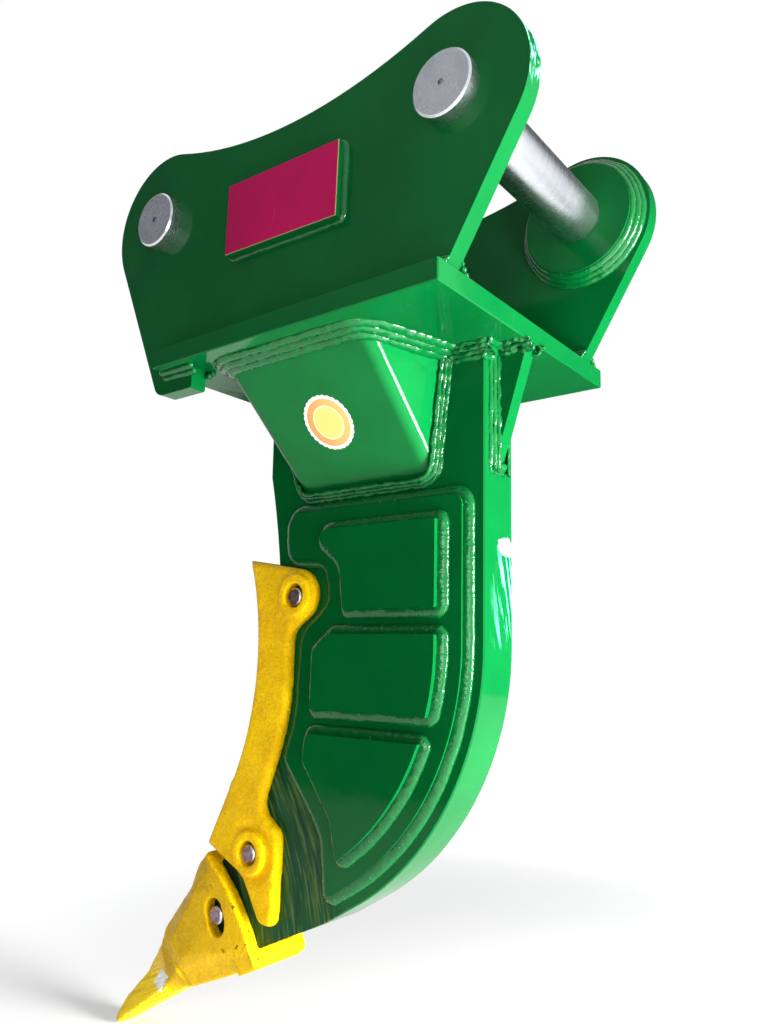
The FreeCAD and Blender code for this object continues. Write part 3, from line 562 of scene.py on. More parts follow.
def tooth_marks(finish, place, paint, gloss, height):
    """Lines along the blade, painted light on the blade and the lower flank, a pale patch painted as a glint
    with painted sheen round it, and the dark brown chips on the rim of the socket.
    """
    x, y, z = finish.split(place)
    along, across = along_tooth(x, z), across_tooth(x, z)
    blade = finish.ramp(along, 0.170, 0.205)
    lines = finish.noise(finish.combined(along * 9.0, across * 190.0, y * 190.0), 1.0, 3.0, 0.6)
    flank = finish.ramp(across + along * 0.36, 0.000, -0.012) * finish.ramp(blade, 0.5, 0.0)
    side = finish.ramp(y, -0.012, -0.018)
    ragged = (finish.noise(place, 150.0, 3.0) - 0.5) * 0.012
    # A pale patch painted as a glint, also sunk and made smoother, with a paler band of painted sheen round
    # it
    ahead, above = along - GLINT_PLACE[0], across - GLINT_PLACE[1]
    wide = ahead * GLINT_TILT[0] - above * GLINT_TILT[1]
    high = ahead * GLINT_TILT[1] + above * GLINT_TILT[0]
    bare_glint = finish.within(wide + ragged, 0.0, 0.0175, 0.002) * finish.within(high + ragged, 0.0, 0.0100, 0.002)
    bare_glint = side * bare_glint
    glint_sheen = side * finish.within(along + ragged, 0.196, 0.016, 0.008) * finish.ramp(across, -0.050, -0.040)
    rim = finish.ramp(along, 0.003, -0.006) * finish.patches(place, 70.0, 0.66, 0.69, 3.0, 0.6)
    paint = finish.layered(
        paint,
        # painted light: the blade lighter than the rest of the tooth
        (blade * 0.9, (1.0, 0.70, 0.008)),
        (blade * finish.ramp(lines, 0.50, 0.68) * 0.50, (0.50, 0.27, 0.006)),
        (blade * finish.ramp(lines, 0.46, 0.36) * 0.40, (1.0, 0.80, 0.10)),
        # painted light on the lower flank below the fold
        (flank * 0.6, (0.93, 0.57, 0.003)),
        # painted sheen round the glint
        (glint_sheen * 0.40, (0.95, 0.66, 0.20)),
        # painted glint
        (bare_glint, (0.80, 0.79, 0.76)),
        (rim * 0.9, (0.10, 0.045, 0.008)))
    height = height + blade * lines * 1.6 - bare_glint * 0.8 - rim * 0.8
    return paint, gloss - bare_glint * 0.06 + rim * 0.2, height


def turned_finish(name, base, centre_x, centre_z):
    """Bright steel turned on a lathe: fine rings on the faces, lines round the shaft, smears, scratches."""
    finish = Finish(name)
    place = finish.place()
    x, y, z = finish.split(place)
    dx, dz = x - centre_x, z - centre_z
    reach, around = finish.reach(dx, dz), finish.turn(dz, dx)
    across = finish.combined(reach, y, 0.0)
    rings = finish.noise(finish.stretched(across, (900.0, 900.0, 1.0)), 1.0, 2.0)
    broad = finish.noise(finish.stretched(across, (75.0, 75.0, 1.0)), 1.0, 2.0)
    smears = finish.patches(finish.stretched(place, (46.0, 6.0, 46.0)), 1.0, 0.48, 0.76, 3.0)
    spin = finish.combined(around * 1.2 + y * 9.0, y * 42.0, reach * 42.0)
    wipes = finish.patches(spin, 1.0, 0.56, 0.70, 4.0, 0.7)
    scratches = finish.patches(finish.stretched(place, (240.0, 24.0, 240.0)), 1.0, 0.70, 0.76)
    steel = finish.blend(broad, colour(scaled(base, 0.80)), colour(base))
    steel = finish.layered(
        steel, (smears * 0.15, (base[0] * 0.46, base[1] * 0.50, base[2] * 0.58)),
        (wipes * 0.30, [min(1.0, value * 1.25) for value in base]))
    return finish.surface(
        Base_Color=steel, Metallic=1.0, Roughness=0.20 + rings * 0.12 + smears * 0.06 - wipes * 0.04,
        Normal=finish.bump(rings + broad * 0.6 - scratches * 0.8, 0.00025, 0.5))


def forged_finish(name, base, rim, places, radius):
    """Dark hardened steel of the cross pins, rubbed bright at the rim of each end."""
    finish = Finish(name)
    place = finish.place()
    x, _, z = finish.split(place)
    nearest = None
    for centre_x, centre_z in places:
        away = finish.reach(x - centre_x, z - centre_z)
        nearest = away if nearest is None else nearest.smaller(away)
    mottle = finish.noise(place, 150.0, 4.0, 0.6)
    edge = finish.ramp(nearest + mottle * 0.004, radius * 0.80 + 0.002, radius * 0.90 + 0.002)
    steel = finish.blend(finish.ramp(mottle, 0.38, 0.66), colour(base), colour(scaled(base, 1.9)))
    steel = finish.layered(steel, (edge, rim))
    return finish.surface(
        Base_Color=steel, Metallic=1.0, Roughness=0.34 + mottle * 0.2 - edge * 0.12,
        Normal=finish.bump(mottle, 0.0009, 0.6))


def plated_finish(name, base):
    """Dull zinc plating, cloudy and faintly rough."""
    finish = Finish(name)
    cloud = finish.noise(finish.place(), 90.0, 3.0)
    plating = finish.blend(cloud, colour(scaled(base, 0.7)), colour(base))
    return finish.surface(
        Base_Color=plating, Metallic=1.0, Roughness=0.28 + cloud * 0.15,
        Normal=finish.bump(cloud, 0.0002, 0.4))


def seal_finish(name, centre, radius):
    """A printed seal without words: white border, gold ring and a paler gold middle."""
    finish = Finish(name)
    place = finish.place()
    share = finish.node("ShaderNodeVectorMath", {"operation": "DISTANCE"}, place, centre)[0] / radius
    warm = finish.ramp(finish.split(place)[0], centre[0] - radius, centre[0] + radius)
    ring = finish.blend(warm, colour((0.60, 0.27, 0.075)), colour((0.78, 0.42, 0.13)))
    paper = finish.layered(
        ring,
        (finish.ramp(share, 0.60, 0.57), (0.82, 0.55, 0.15)),
        (finish.within(share, 0.60, 0.012, 0.012), (0.93, 0.84, 0.62)),
        (finish.ramp(share, 0.86, 0.885), (0.84, 0.83, 0.80)))
    return finish.surface(Base_Color=paper, Roughness=0.32, Specular_IOR_Level=0.4)


def colour_setting(name, description, default):
    return bpy.props.FloatVectorProperty(
        name=name, description=description, subtype="COLOR", min=0.0, max=1.0, default=default)


def length_setting(name, description, low, default):
    return bpy.props.FloatProperty(
        name=name, description=description, subtype="DISTANCE", unit="LENGTH", min=low, default=default)


def power_setting(name, description, default):
    return bpy.props.FloatProperty(
        name=name, description=description, subtype="POWER", unit="POWER", min=0.0, default=default)


class RipperSettings(bpy.types.PropertyGroup):
    """Sizes and colours that a user would change."""

    green: colour_setting("Green enamel", "Enamel of the ripper's body", (0.0010, 0.101, 0.0195))
    green_deep: colour_setting("Deep green", "Enamel where it lies thick", (0.0007, 0.083, 0.0165))
    yellow: colour_setting("Yellow enamel", "Paint of the protector and the tooth", (1.0, 0.635, 0.002))
    yellow_deep: colour_setting("Deep yellow", "Paint in the castings' hollows", (0.88, 0.495, 0.002))
    crimson: colour_setting("Crimson enamel", "Paint of the name plate's face", (0.46, 0.004, 0.085))
    steel: colour_setting("Turned steel", "Steel of the hitch pins", (0.76, 0.79, 0.83))
    ripple_pitch: length_setting("Ripple pitch", "Distance between the ripples of a weld pass", 0.002, 0.0066)
    cast_grid: length_setting("Cast detail", "Grid of the castings' remeshed skin", 0.001, 0.0024)
    key_power: power_setting("Main light", "Power of the large soft light at the rear", 225.0)
    low_power: power_setting("Low light", "Power of the soft light low at the rear", 34.0)
    fill_power: power_setting("Fill light", "Power of the soft light near the camera", 13.0)
    room_strength: bpy.props.FloatProperty(
        name="Room light", description="Strength of the light from all round", min=0.0, default=0.7)


def settings():
    return getattr(bpy.context.scene, PROPS)


MATERIALS = {}


class RIPPER_OT_materials(bpy.types.Operator):
    """Makes the finishes that all pieces share"""

    bl_idname = "ripper.materials"
    bl_label = "Finishes"

    def execute(self, context):
        chosen = settings()
        green, deep = chosen.green, chosen.green_deep
        for label, marks in (("green", None), ("shank", shank_marks), ("lug", lug_marks)):
            MATERIALS[label] = enamel_finish(label + "_enamel", green, deep, marks)
        MATERIALS["bead"] = enamel_finish("bead_enamel", green, deep, bead_marks, roughness=0.05, shine=0.42)
        # Painted light: the gussets get a copy of the green enamel 1.3 times as light as the rest
        MATERIALS["box"] = enamel_finish("gusset_lit_enamel", scaled(green, 1.3), scaled(deep, 1.3))
        MATERIALS["yellow"] = cast_enamel_finish("yellow_enamel", chosen.yellow, chosen.yellow_deep)
        # Painted shade: the tooth gets a darker copy of the yellow for its side turned from the light
        MATERIALS["tooth"] = cast_enamel_finish(
            "shaded_tooth_enamel", scaled(chosen.yellow, 0.80), scaled(chosen.yellow_deep, 0.72), tooth_marks)
        MATERIALS["crimson"] = enamel_finish(
            "crimson_enamel", chosen.crimson, scaled(chosen.crimson, 0.8),
            name_plate_marks(green, (0.42, 0.34, 0.12)), roughness=0.22, orange_peel=700.0)
        for label, pin in zip(("stick", "link"), PINS):
            MATERIALS[label + "_pin"] = turned_finish("turned_steel_" + label, chosen.steel, *pin)
        MATERIALS["dark"] = forged_finish(
            "dark_steel", (0.20, 0.14, 0.17), (0.66, 0.64, 0.64), CROSS_PINS, CROSS_PIN_RADIUS)
        MATERIALS["plated"] = plated_finish("plated_steel", (0.55, 0.55, 0.50))
        return {"FINISHED"}


class RIPPER_OT_frame(bpy.types.Operator):
    """Gives the CAD nodes that stay in view their finishes"""

    bl_idname = "ripper.frame"
    bl_label = "Plates and pins"

    def execute(self, context):
        special = {"stick_pin": "stick_pin", "link_pin": "link_pin", "cross_pins": "dark",
                   "lock_bolts": "plated", "lock_nuts": "plated", "name_plate": "crimson",
                   "tooth": "tooth", "protector": "yellow", "shank": "shank", "ear_left": "lug",
                   "gusset_left": "box", "gusset_right": "box"}
        for name, node in NODES.items():
            finish = MATERIALS[special.get(name, "green")]
            for slot in node.material_slots:
                slot.material = finish
            if not node.material_slots:
                node.data.materials.append(finish)
        return {"FINISHED"}


class RIPPER_OT_castings(bpy.types.Operator):
    """Softens the protector and the tooth into sand castings"""

    bl_idname = "ripper.castings"
    bl_label = "Castings"

    def execute(self, context):
        for node in ("protector", "tooth"):
            piece = node_copy("cast_" + node, node)
            modifier(piece, "REMESH", mode="VOXEL", voxel_size=settings().cast_grid, use_smooth_shade=True)
            apply_all(piece)
            if node == "tooth":
                self.fold(piece)
            modifier(piece, "SMOOTH", factor=0.5, iterations=11)
            apply_all(piece)
            smooth(piece)
            finish_piece(piece, MATERIALS["tooth" if node == "tooth" else "yellow"], "yellow_enamel", node)
        return {"FINISHED"}

    def fold(self, tooth):
        """Draws the tooth's flanks in below the fold that rises along its sides towards the blade."""
        def below(point, depth):
            along, across = along_tooth(point.x, point.z), across_tooth(point.x, point.z)
            on_flank = FOLD_REACH[0] < along < FOLD_REACH[1] and abs(point.y) > FOLD_INNER
            return on_flank and across < FOLD_BASE + along * FOLD_RISE - depth

        edit(tooth)
        for depth in FOLD_DEPTHS:
            pick(tooth, lambda vertex: below(vertex.co, depth), "vertices")
            bpy.ops.transform.resize(value=(1.0, FOLD_SHARE, 1.0), center_override=(0.0, 0.0, 0.0))
        done()


# Weld beads: one ripple per row is arrayed along a guide curve drawn on the wall that carries the bead


def sideways(side):
    return Vector((0, side, 0))


def wall_frame(normal):
    """A turn whose Z is the wall's normal."""
    across = Vector((1, 0, 0)) if abs(normal.x) < 0.9 else Vector((0, 1, 0))
    across = (across - normal * across.dot(normal)).normalized()
    return Matrix((across, normal.cross(across), normal)).transposed().to_4x4()


def softened(points, radius, steps=6):
    """An open line through the points with its corners rounded."""
    line = [points[0]]
    for before, corner, after in zip(points, points[1:], points[2:]):
        a, b = (before - corner).normalized(), (after - corner).normalized()
        start, end = corner + a * radius, corner + b * radius
        for i in range(steps + 1):
            t = i / steps
            line.append(start * (1 - t) ** 2 + corner * 2 * t * (1 - t) + end * t ** 2)
    return line + [points[-1]]


def line_guide(points, normal):
    """A curve through points on a wall, in the wall's frame."""
    local = wall_frame(normal).inverted()
    data = bpy.data.curves.new("guide", "CURVE")
    data.dimensions = "3D"
    data.twist_mode = "Z_UP"
    spline = data.splines.new("POLY")
    spline.points.add(len(points) - 1)
    for point, target in zip(points, spline.points):
        target.co = (*(local @ point), 1.0)
    guide = bpy.data.objects.new("guide", data)
    bpy.context.scene.collection.objects.link(guide)
    return guide


def to_guide(piece, normal):
    """Turns a loop of edges on a wall into a curve in the wall's frame."""
    put(piece, wall_frame(normal).inverted())
    only(piece)
    bpy.ops.object.convert(target="CURVE")
    guide = bpy.context.object
    guide.data.twist_mode = "Z_UP"
    return guide


def ring_guide(centre, radius, y_wall, side):
    """A circle round a pin's centre, on a wall square to the pins."""
    nothing_selected()
    bpy.ops.mesh.primitive_circle_add(vertices=96, radius=radius, location=(centre[0], y_wall, centre[1]),
                                      rotation=(math.pi / 2, 0, 0))
    piece = bpy.context.object
    settle(piece)
    return to_guide(piece, sideways(side))


def rim_guide(node, y_wall, side):
    """The outline of a plate where it stands on a wall, with its corners eased."""
    piece = node_copy("guide", node)
    edit(piece)
    pick(piece, lambda face: any(abs(piece.data.vertices[i].co.y - y_wall) > 0.0001 for i in face.vertices))
    bpy.ops.mesh.delete(type="FACE")
    bpy.ops.mesh.select_all(action="SELECT")
    bpy.ops.mesh.dissolve_limited(angle_limit=0.01)
    bpy.ops.mesh.select_all(action="SELECT")
    bpy.ops.mesh.delete(type="ONLY_FACE")
    for _ in range(RIM_ROUNDS):
        pick(piece, lambda edge: (piece.data.vertices[edge.vertices[0]].co
                                  - piece.data.vertices[edge.vertices[1]].co).length > RIM_STEP, "edges")
        bpy.ops.mesh.subdivide(number_cuts=1)
    bpy.ops.mesh.select_all(action="SELECT")
    bpy.ops.mesh.vertices_smooth(factor=0.5, repeat=6)
    done()
    return to_guide(piece, sideways(side))


def outside_is_left(guide):
    """True where a closed guide runs clockwise, as its signed area tells."""
    points = [point.co for point in guide.data.splines[0].points]
    area = sum(p.x * q.y - q.x * p.y for p, q in zip(points, points[1:] + points[:1]))
    return area < 0


def ripple_tube(pitch, half_width, half_height, sides, swell):
    """One ripple of a pass: an open tube along X, swollen in the middle."""
    nothing_selected()
    bpy.ops.mesh.primitive_cylinder_add(vertices=sides, radius=1.0, depth=1.0, end_fill_type="NOTHING",
                                        rotation=(0.0, math.pi / 2, 0.0))
    tube = bpy.context.object
    settle(tube)
    edit(tube)
    ends = tube.data.vertices
    pick(tube, lambda edge: abs(ends[edge.vertices[0]].co.x - ends[edge.vertices[1]].co.x) > 0.5, "edges")
    bpy.ops.mesh.subdivide(number_cuts=2)
    pick(tube, lambda vertex: abs(vertex.co.x) < 0.4, "vertices")
    bpy.ops.transform.resize(value=(1.0, 1.0 + swell, 1.0 + swell), center_override=(0.0, 0.0, 0.0))
    done()
    tube.scale = (pitch, half_width, half_height)
    settle(tube)
    return tube


def pass_blob(half_width, half_height):
    """The rounded end of a pass."""
    nothing_selected()
    bpy.ops.mesh.primitive_uv_sphere_add(segments=12, ring_count=8, radius=1.0)
    blob = bpy.context.object
    blob.scale = (half_width, half_width, half_height)
    settle(blob)
    return blob


def pass_rows(leg_out, leg_up, rows, crown):
    """Turn, half sizes and middle of each row of a bead, across the wall and up from it."""
    if rows == 1:
        return [(0.0, leg_out, leg_up, 0.0, 0.0)]
    width = math.hypot(leg_out, leg_up) / rows
    turn = math.atan2(leg_up, leg_out)
    found = []
    for row in range(rows):
        share = (row + 0.5) / rows
        sink = width * crown * ROW_SINK
        found.append((turn, width * ROW_HALF_WIDTH, width * crown,
                      leg_out * (1 - share) - sink, leg_up * share - sink))
    return found


def laid(pieces, rows, left, shifts):
    """Turns and moves the rows of a bead to their places and joins them."""
    for piece, (turn, _, _, out, up), shift in zip(pieces, rows, shifts):
        piece.rotation_euler = (-turn if left else turn, 0.0, 0.0)
        piece.location = (shift, out if left else -out, up)
        settle(piece)
    return joined(pieces)


def weld_run(guide, normal, left, leg_out, leg_up, rows, pitch, crown, swell, ends):
    """Lays a bead along a guide: its rows of ripples, and rounded ends on an open one."""
    laid_rows = pass_rows(leg_out, leg_up, rows, crown)
    sides = 22 if rows == 1 else 14
    bead = laid([ripple_tube(pitch, row[1], row[2], sides, swell) for row in laid_rows], laid_rows, left,
                [pitch * (0.5 + ROW_STAGGER * i) for i in range(rows)])
    caps = []
    if ends:
        caps = [laid([pass_blob(row[1], row[2]) for row in laid_rows], laid_rows, left,
                     [place * (1 + ROW_STAGGER * i) for i in range(rows)]) for place in (pitch, 0.0)]
    array = modifier(bead, "ARRAY", fit_type="FIT_CURVE", curve=guide, use_relative_offset=False,
                     use_constant_offset=True, constant_offset_displace=(pitch, 0.0, 0.0),
                     use_merge_vertices=True, merge_threshold=MERGE)
    if ends:
        array.start_cap, array.end_cap = caps
    modifier(bead, "CURVE", object=guide, deform_axis="POS_X")
    apply_all(bead)
    put(bead, wall_frame(normal))
    for spare in [guide] + caps:
        bpy.data.objects.remove(spare)
    return bead


def line_run(points, normal, out, leg_out, leg_up, rows, pitch, radius=0.0, crown=0.46, swell=0.05):
    """A bead along a line on a wall, on the side that out points to."""
    line = softened(points, radius) if radius else points
    left = out.dot(normal.cross(line[1] - line[0])) > 0
    return weld_run(line_guide(line, normal), normal, left, leg_out, leg_up, rows, pitch, crown, swell, True)


def closed_run(guide, normal, leg_out, leg_up, rows, pitch, crown=0.46, swell=0.05):
    """A bead all round a closed guide, on its outer side."""
    return weld_run(guide, normal, outside_is_left(guide), leg_out, leg_up, rows, pitch, crown, swell, False)


def uneven(piece, waves, lumps, grains):
    """Gives beads their waves, lumps and grains."""
    for label, grain, strength in (("bead_waves", 0.030, waves), ("bead_lumps", 0.010, lumps),
                                   ("bead_grains", 0.004, grains)):
        texture = bpy.data.textures.get(label) or bpy.data.textures.new(label, "CLOUDS")
        texture.noise_scale = grain
        modifier(piece, "DISPLACE", texture=texture, texture_coords="LOCAL", strength=strength,
                 mid_level=0.52)
    apply_all(piece)
    return piece


def weld(name, runs, node=None, waves=0.003, lumps=0.0016, grains=0.0005):
    """Joins runs into one piece, which may stand for a node of beads, and makes it uneven."""
    piece = joined(runs)
    piece.name = name
    uneven(piece, waves, lumps, grains)
    smooth(piece)
    stands_for = [node] if node else []
    return finish_piece(piece, MATERIALS["bead"], "green_enamel", *stands_for)


class RIPPER_OT_hitch_welds(bpy.types.Operator):
    """Lays the beads of the ears, hooks, bosses, collars and name plate"""

    bl_idname = "ripper.hitch_welds"
    bl_label = "Hitch welds"

    def execute(self, context):
        pitch = settings().ripple_pitch
        low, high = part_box("ear_welds")
        runs = []
        for side in (-1, 1):
            for y, way, leg, rows in ((EAR_INNER, -side, EAR_INNER_LEG, 3),
                                      (EAR_OUTER, side, EAR_OUTER_LEG, 2)):
                points = [Vector((low.x, side * y, PLATE_TOP)), Vector((high.x, side * y, PLATE_TOP))]
                runs.append(line_run(points, UP, sideways(way), leg, leg, rows, pitch))
        weld("ear_beads", runs, "ear_welds")
        low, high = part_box("hook_welds")
        runs = []
        for side in (-1, 1):
            for y, way in ((EAR_INNER, -side), (EAR_OUTER, side)):
                points = [Vector((low.x, side * y, PLATE_BOTTOM)), Vector((high.x, side * y, PLATE_BOTTOM))]
                runs.append(line_run(points, DOWN, sideways(way), HOOK_LEG, HOOK_LEG, 2, pitch))
        weld("hook_beads", runs, "hook_welds")
        for name, side in (("left", -1), ("right", 1)):
            runs = [closed_run(ring_guide(pin, BOSS_RADIUS, side * EAR_INNER, -side), sideways(-side),
                               *BOSS_LEGS, 3, pitch) for pin in PINS]
            weld("boss_beads_" + name, runs, "boss_welds_" + name)
        runs = [closed_run(ring_guide(pin, COLLAR_RADIUS, EAR_OUTER, 1), sideways(1), COLLAR_LEG, COLLAR_LEG,
                           1, pitch) for pin in PINS]
        weld("collar_beads", runs, "collar_welds")
        runs = [closed_run(rim_guide("name_plate", -EAR_OUTER, -1), sideways(-1), NAME_PLATE_LEG,
                           NAME_PLATE_LEG, 1, pitch)]
        weld("name_plate_beads", runs, "name_plate_weld")
        return {"FINISHED"}


class RIPPER_OT_shank_welds(bpy.types.Operator):
    """Lays the beads of the cheeks, pads, gussets and rib"""

    bl_idname = "ripper.shank_welds"
    bl_label = "Shank welds"

    def execute(self, context):
        pitch = settings().ripple_pitch
        for name, side in (("left", -1), ("right", 1)):
            out = sideways(side)
            runs = [closed_run(rim_guide("cheek_" + name, side * SHANK_HALF, side), out, *CHEEK_LEGS,
                               1, pitch, swell=0.02)]
            weld("cheek_beads_" + name, runs, "cheek_weld_" + name, waves=0.0018, lumps=0.0012)
            runs = [closed_run(rim_guide("pad_%s_%s" % (pad, name), side * CHEEK_FACE, side), out,
                               *PAD_LEGS, 1, pitch, swell=0.03) for pad in ("upper", "middle", "lower")]
            weld("pad_beads_" + name, runs, "pad_welds_" + name, waves=0.0022, lumps=0.0018, grains=0.0008)
            self.gusset_beads(name, side, pitch * 1.4)
        self.rib_beads(pitch)
        self.shank_top_beads(pitch)
        return {"FINISHED"}

    def gusset_beads(self, name, side, pitch):
        wall = side * SHANK_HALF
        toe = PLATE_BOTTOM - GUSSET_DROP
        under = side * (SHANK_HALF + GUSSET_REACH - GUSSET_SIDE_INSET)
        on_plate = [Vector((GUSSET_FOOT[0] + GUSSET_INSETS[0], wall, PLATE_BOTTOM)),
                    Vector((GUSSET_TOP[0] + GUSSET_INSETS[1], under, PLATE_BOTTOM)),
                    Vector((GUSSET_TOP[1] - GUSSET_INSETS[2], under, PLATE_BOTTOM)),
                    Vector((GUSSET_FOOT[1] - GUSSET_INSETS[3], wall, PLATE_BOTTOM))]
        on_shank = [Vector((GUSSET_FOOT[0], wall, PLATE_BOTTOM)), Vector((GUSSET_TOE[0], wall, toe)),
                    Vector((GUSSET_TOE[1], wall, toe)), Vector((GUSSET_FOOT[1], wall, PLATE_BOTTOM))]
        runs = [line_run(on_plate, DOWN, FRONT, *GUSSET_PLATE_LEGS, 3, pitch, GUSSET_BEND, crown=0.34),
                line_run(on_shank, sideways(side), FRONT, *GUSSET_SHANK_LEGS, 3, pitch, GUSSET_BEND)]
        weld("gusset_beads_" + name, runs, "gusset_weld_" + name, waves=0.0028, lumps=0.0042, grains=0.0022)

    def rib_beads(self, pitch):
        """Lumpy short beads under the base plate, long even ones down the shank."""
        low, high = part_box("rear_rib")
        runs = []
        for side in (-1, 1):
            y = side * (high.y - 0.001)
            top, end = Vector((low.x, y, PLATE_BOTTOM)), Vector((high.x, y, PLATE_BOTTOM))
            toe = Vector((low.x, y, low.z))
            runs.append(uneven(line_run([top, end], DOWN, sideways(side), RIB_TOP_LEG, RIB_TOP_LEG, 3, pitch),
                               waves=0.004, lumps=0.0075, grains=0.003))
            runs.append(line_run([top, toe], REAR, sideways(side), *RIB_SHANK_LEGS, 3, pitch * 2.2,
                                 crown=0.40, swell=0.02))
        round_toe = [Vector((low.x, y, low.z + 0.004)) for y in (low.y - 0.009, 0.006)]
        runs.append(line_run(round_toe, REAR, DOWN, *RIB_TOE_LEGS, 2, pitch * 1.5, crown=0.36))
        weld("rib_beads", runs, "rib_welds", waves=0.0030, lumps=0.0042, grains=0.0020)

    def shank_top_beads(self, pitch):
        """The joint of shank and base plate behind the gussets, along the sides and across the rear."""
        low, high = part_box("rear_rib")
        runs = []
        for side in (-1, 1):
            wall = side * SHANK_HALF
            start = Vector((GUSSET_FOOT[1] - 0.006, wall, PLATE_BOTTOM))
            corner = Vector((low.x + 0.007, wall, PLATE_BOTTOM))
            runs.append(line_run([start, corner], DOWN, sideways(side), *SHANK_SIDE_LEGS, 4, pitch * 1.3,
                                 crown=0.36))
            across = [Vector((low.x, side * (SHANK_HALF + 0.007), PLATE_BOTTOM)),
                      Vector((low.x, side * high.y, PLATE_BOTTOM))]
            runs.append(line_run(across, DOWN, REAR, *SHANK_REAR_LEGS, 3, pitch * 1.3, crown=0.42))
        weld("shank_top_beads", runs, waves=0.004, lumps=0.0070, grains=0.0028)


class RIPPER_OT_seal(bpy.types.Operator):
    """Sticks the blank scalloped seal on the left gusset"""

    bl_idname = "ripper.seal"
    bl_label = "Seal"

    def execute(self, context):
        slanted = [face for face in NODES["gusset_left"].data.polygons
                   if face.normal.y < -0.5 and face.normal.z < -0.25]
        slope = max(slanted, key=lambda face: face.area)
        normal = slope.normal.copy()
        x, y = SEAL_PLACE
        z = (normal.dot(slope.center) - normal.x * x - normal.y * y) / normal.z
        nothing_selected()
        bpy.ops.mesh.primitive_circle_add(vertices=SEAL_TEETH * 4, radius=SEAL_RADIUS, fill_type="NGON")
        piece = bpy.context.object
        piece.name = "seal"
        edit(piece)
        step = math.pi / 2 / SEAL_TEETH
        pick(piece, lambda vertex: round(math.atan2(vertex.co.y, vertex.co.x) / step) % 4 == 0, "vertices")
        bpy.ops.transform.resize(value=(SEAL_NOTCH, SEAL_NOTCH, 1.0), center_override=(0.0, 0.0, 0.0))
        pick(piece, lambda face: True)
        bpy.ops.mesh.extrude_region_move(TRANSFORM_OT_translate={"value": (0.0, 0.0, SEAL_THICKNESS)})
        bpy.ops.mesh.select_all(action="SELECT")
        bpy.ops.mesh.normals_make_consistent(inside=False)
        done()
        put(piece, Matrix.Translation(Vector((x, y, z)) + normal * SEAL_LIFT) @ wall_frame(normal))
        finish_piece(piece, seal_finish("seal_print", (x, y, z), SEAL_RADIUS), "yellow_enamel")
        return {"FINISHED"}


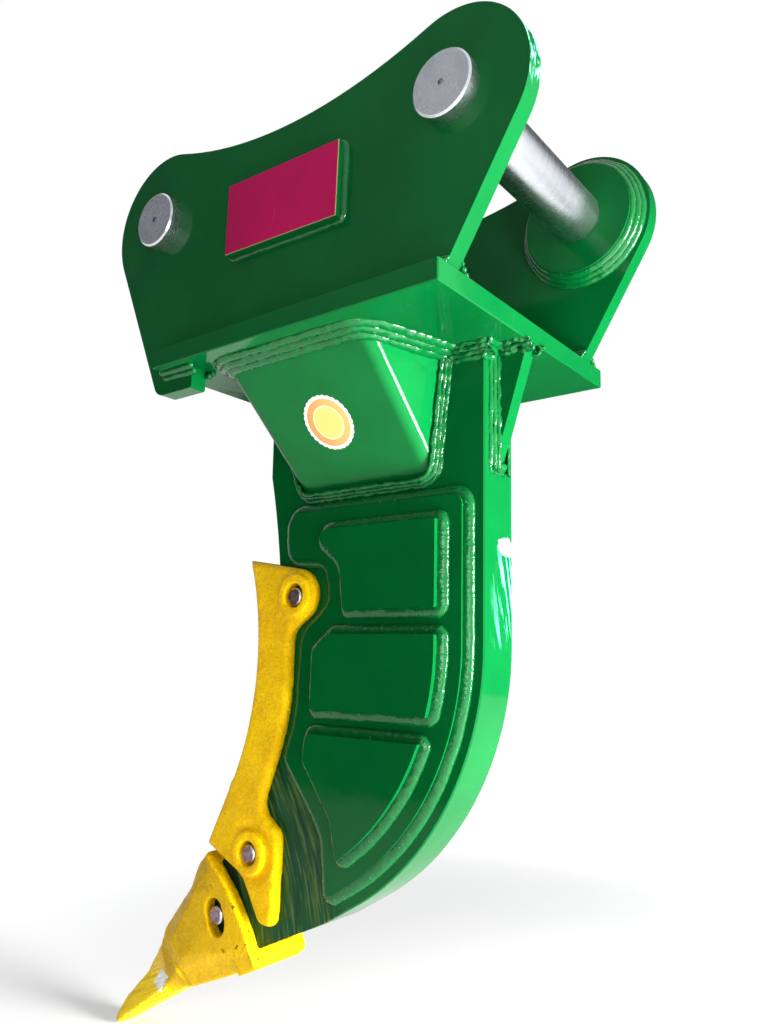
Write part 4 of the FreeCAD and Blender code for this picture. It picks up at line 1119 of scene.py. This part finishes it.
class RIPPER_OT_stage(bpy.types.Operator):
    """Pale floor with a painted shadow round the object, soft lights, white surroundings, dark cards and the
    camera at the photo's angle
    """

    bl_idname = "ripper.stage"
    bl_label = "Stage"

    def execute(self, context):
        self.floor()
        self.card("front_card", place=(-1.9, -2.1, 1.6), size=(6.4, 5.8), rise=(0.50, 0.90),
                  tones=((0.02, 0.02, 0.02), (0.24, 0.25, 0.28), (0.46, 0.47, 0.49)))
        self.card("rear_card", place=(-0.425, 1.7, 0.69), size=(4.35, 3.62), rise=(-0.9, -0.5),
                  tones=((0.05, 0.06, 0.06), (0.03, 0.04, 0.04), (0.03, 0.04, 0.04)))
        self.world(context)
        chosen = settings()
        self.lamp("rear_light", place=(2.9, 0.15, -0.60), target=(0.3, 0.0, -0.40), size=1.0,
                  power=chosen.key_power)
        self.lamp("low_light", place=(1.40, -0.08, -1.20), target=(0.30, -0.05, -0.30), size=0.50,
                  power=chosen.low_power, mirrored=False)
        self.lamp("camera_light", place=(1.0, -1.90, -0.60), target=(0.2, 0.0, -0.5), size=0.9,
                  power=chosen.fill_power)
        self.camera(context)
        context.scene.view_settings.view_transform = "Standard"
        return {"FINISHED"}

    def background_rays(self, finish):
        """One for the rays that show the background: seen directly, in gloss or through glass."""
        rays = {wire.socket.name: wire for wire in finish.node("ShaderNodeLightPath", {})}
        return rays["Is Camera Ray"].larger(rays["Is Glossy Ray"]).larger(rays["Is Transmission Ray"])

    def floor(self):
        nothing_selected()
        bpy.ops.mesh.primitive_circle_add(vertices=64, radius=7.0, fill_type="NGON",
                                          location=(0.2, 0.0, CAD_BOX[0][2] - 0.002))
        piece = bpy.context.object
        piece.name = "floor"
        settle(piece)
        finish = Finish("floor_white_painted_shadow")
        paper = finish.node("ShaderNodeBsdfDiffuse", {}, (0.86, 0.86, 0.86, 1.0))[0]
        x, y, _ = finish.split(finish.place())
        # The floor's glow is dim near the object and bright further out: a painted shadow round the object on
        # a white floor
        far = finish.ramp(finish.reach(x - 0.4, y - 0.5), 0.5, 2.2)
        tone = finish.blend(far, colour((0.10, 0.10, 0.10)), colour((0.62, 0.62, 0.62)))
        glow = finish.node("ShaderNodeEmission", {}, tone, 1.0)[0]
        both = finish.node("ShaderNodeAddShader", {}, paper, glow)[0]
        mixed = finish.node("ShaderNodeMixShader", {}, self.background_rays(finish), paper, both)[0]
        piece.data.materials.append(finish.close(mixed))

    def card(self, name, place, size, rise, tones):
        """A dark card for the gloss to mirror, outside the picture: tones below, above left, above right."""
        nothing_selected()
        bpy.ops.mesh.primitive_plane_add(size=1.0, location=place, rotation=(math.pi / 2, 0.0, 0.0))
        piece = bpy.context.object
        piece.name = name
        piece.scale = (size[0], size[1], 1.0)
        settle(piece)
        finish = Finish(name)
        x, _, z = finish.split(finish.place())
        low, left, right = [colour(tone) for tone in tones]
        above = finish.blend(finish.ramp(x, -2.4, -0.7), left, right)
        shade = finish.blend(finish.ramp(z, *rise), low, above)
        cloth = finish.node("ShaderNodeBsdfDiffuse", {}, shade)[0]
        piece.data.materials.append(finish.close(cloth))
        piece.visible_camera = False

    def world(self, context):
        """White where it is seen directly, in gloss or through glass, and a plain level elsewhere."""
        finish = Finish("studio", "World")
        strength = finish.node("ShaderNodeMapRange", {"interpolation_type": "LINEAR"},
                               self.background_rays(finish), 0.0, 1.0, settings().room_strength, 1.0)[0]
        room = finish.node("ShaderNodeBackground", {}, (1.0, 1.0, 1.0, 1.0), strength)[0]
        context.scene.world = finish.close(room)

    def lamp(self, name, place, target, size, power, mirrored=True):
        nothing_selected()
        bpy.ops.object.light_add(type="AREA", location=place)
        lamp = bpy.context.object
        lamp.name = name
        lamp.data.shape = "DISK"
        lamp.data.size = size
        lamp.data.energy = power
        lamp.visible_glossy = mirrored
        lamp.rotation_euler = (Vector(target) - Vector(place)).to_track_quat("-Z", "Y").to_euler()

    def camera(self, context):
        azimuth, elevation, roll = [math.radians(turn) for turn in CAMERA_TURNS]
        level = math.cos(elevation)
        back = Vector((math.sin(azimuth) * level, -math.cos(azimuth) * level, math.sin(elevation)))
        right = Vector((math.cos(azimuth), math.sin(azimuth), 0.0))
        up = back.cross(right)
        lean, rise = math.sin(roll), math.cos(roll)
        right, up = right * rise + up * lean, up * rise - right * lean
        nothing_selected()
        bpy.ops.object.camera_add(location=CAMERA_PLACE)
        camera = bpy.context.object
        turn = Matrix((right, up, back)).transposed().to_4x4()
        camera.matrix_world = Matrix.Translation(camera.location) @ turn
        camera.data.sensor_fit = "VERTICAL"
        camera.data.sensor_height = SENSOR_HEIGHT
        camera.data.lens = FOCAL_LENGTH / PICTURE_HEIGHT * SENSOR_HEIGHT
        camera.data.shift_x = PICTURE_SHIFT[0] / PICTURE_HEIGHT
        camera.data.shift_y = PICTURE_SHIFT[1] / PICTURE_HEIGHT
        camera.data.clip_end = 50.0
        context.scene.camera = camera


class RIPPER_PT_panel(bpy.types.Panel):
    """Lists the ripper's pieces and settings"""

    bl_label = "Ripper"
    bl_idname = "RIPPER_PT_panel"
    bl_space_type = "VIEW_3D"
    bl_region_type = "UI"
    bl_category = "Ripper"

    def draw(self, context):
        for name in RipperSettings.__annotations__:
            self.layout.prop(settings(), name)
        for operator in OPERATORS:
            self.layout.operator(operator.bl_idname)


OPERATORS = (RIPPER_OT_materials, RIPPER_OT_frame, RIPPER_OT_castings, RIPPER_OT_hitch_welds,
             RIPPER_OT_shank_welds, RIPPER_OT_seal, RIPPER_OT_stage)
CLASSES = (RipperSettings,) + OPERATORS + (RIPPER_PT_panel,)


def register():
    for item in CLASSES:
        bpy.utils.register_class(item)
    setattr(bpy.types.Scene, PROPS, bpy.props.PointerProperty(type=RipperSettings))


def unregister():
    delattr(bpy.types.Scene, PROPS)
    for item in reversed(CLASSES):
        bpy.utils.unregister_class(item)


def main():
    register()
    for operator in OPERATORS:
        group, name = operator.bl_idname.split(".")
        getattr(getattr(bpy.ops, group), name)()
    nothing_selected()


if __name__ == "__main__":
    main()
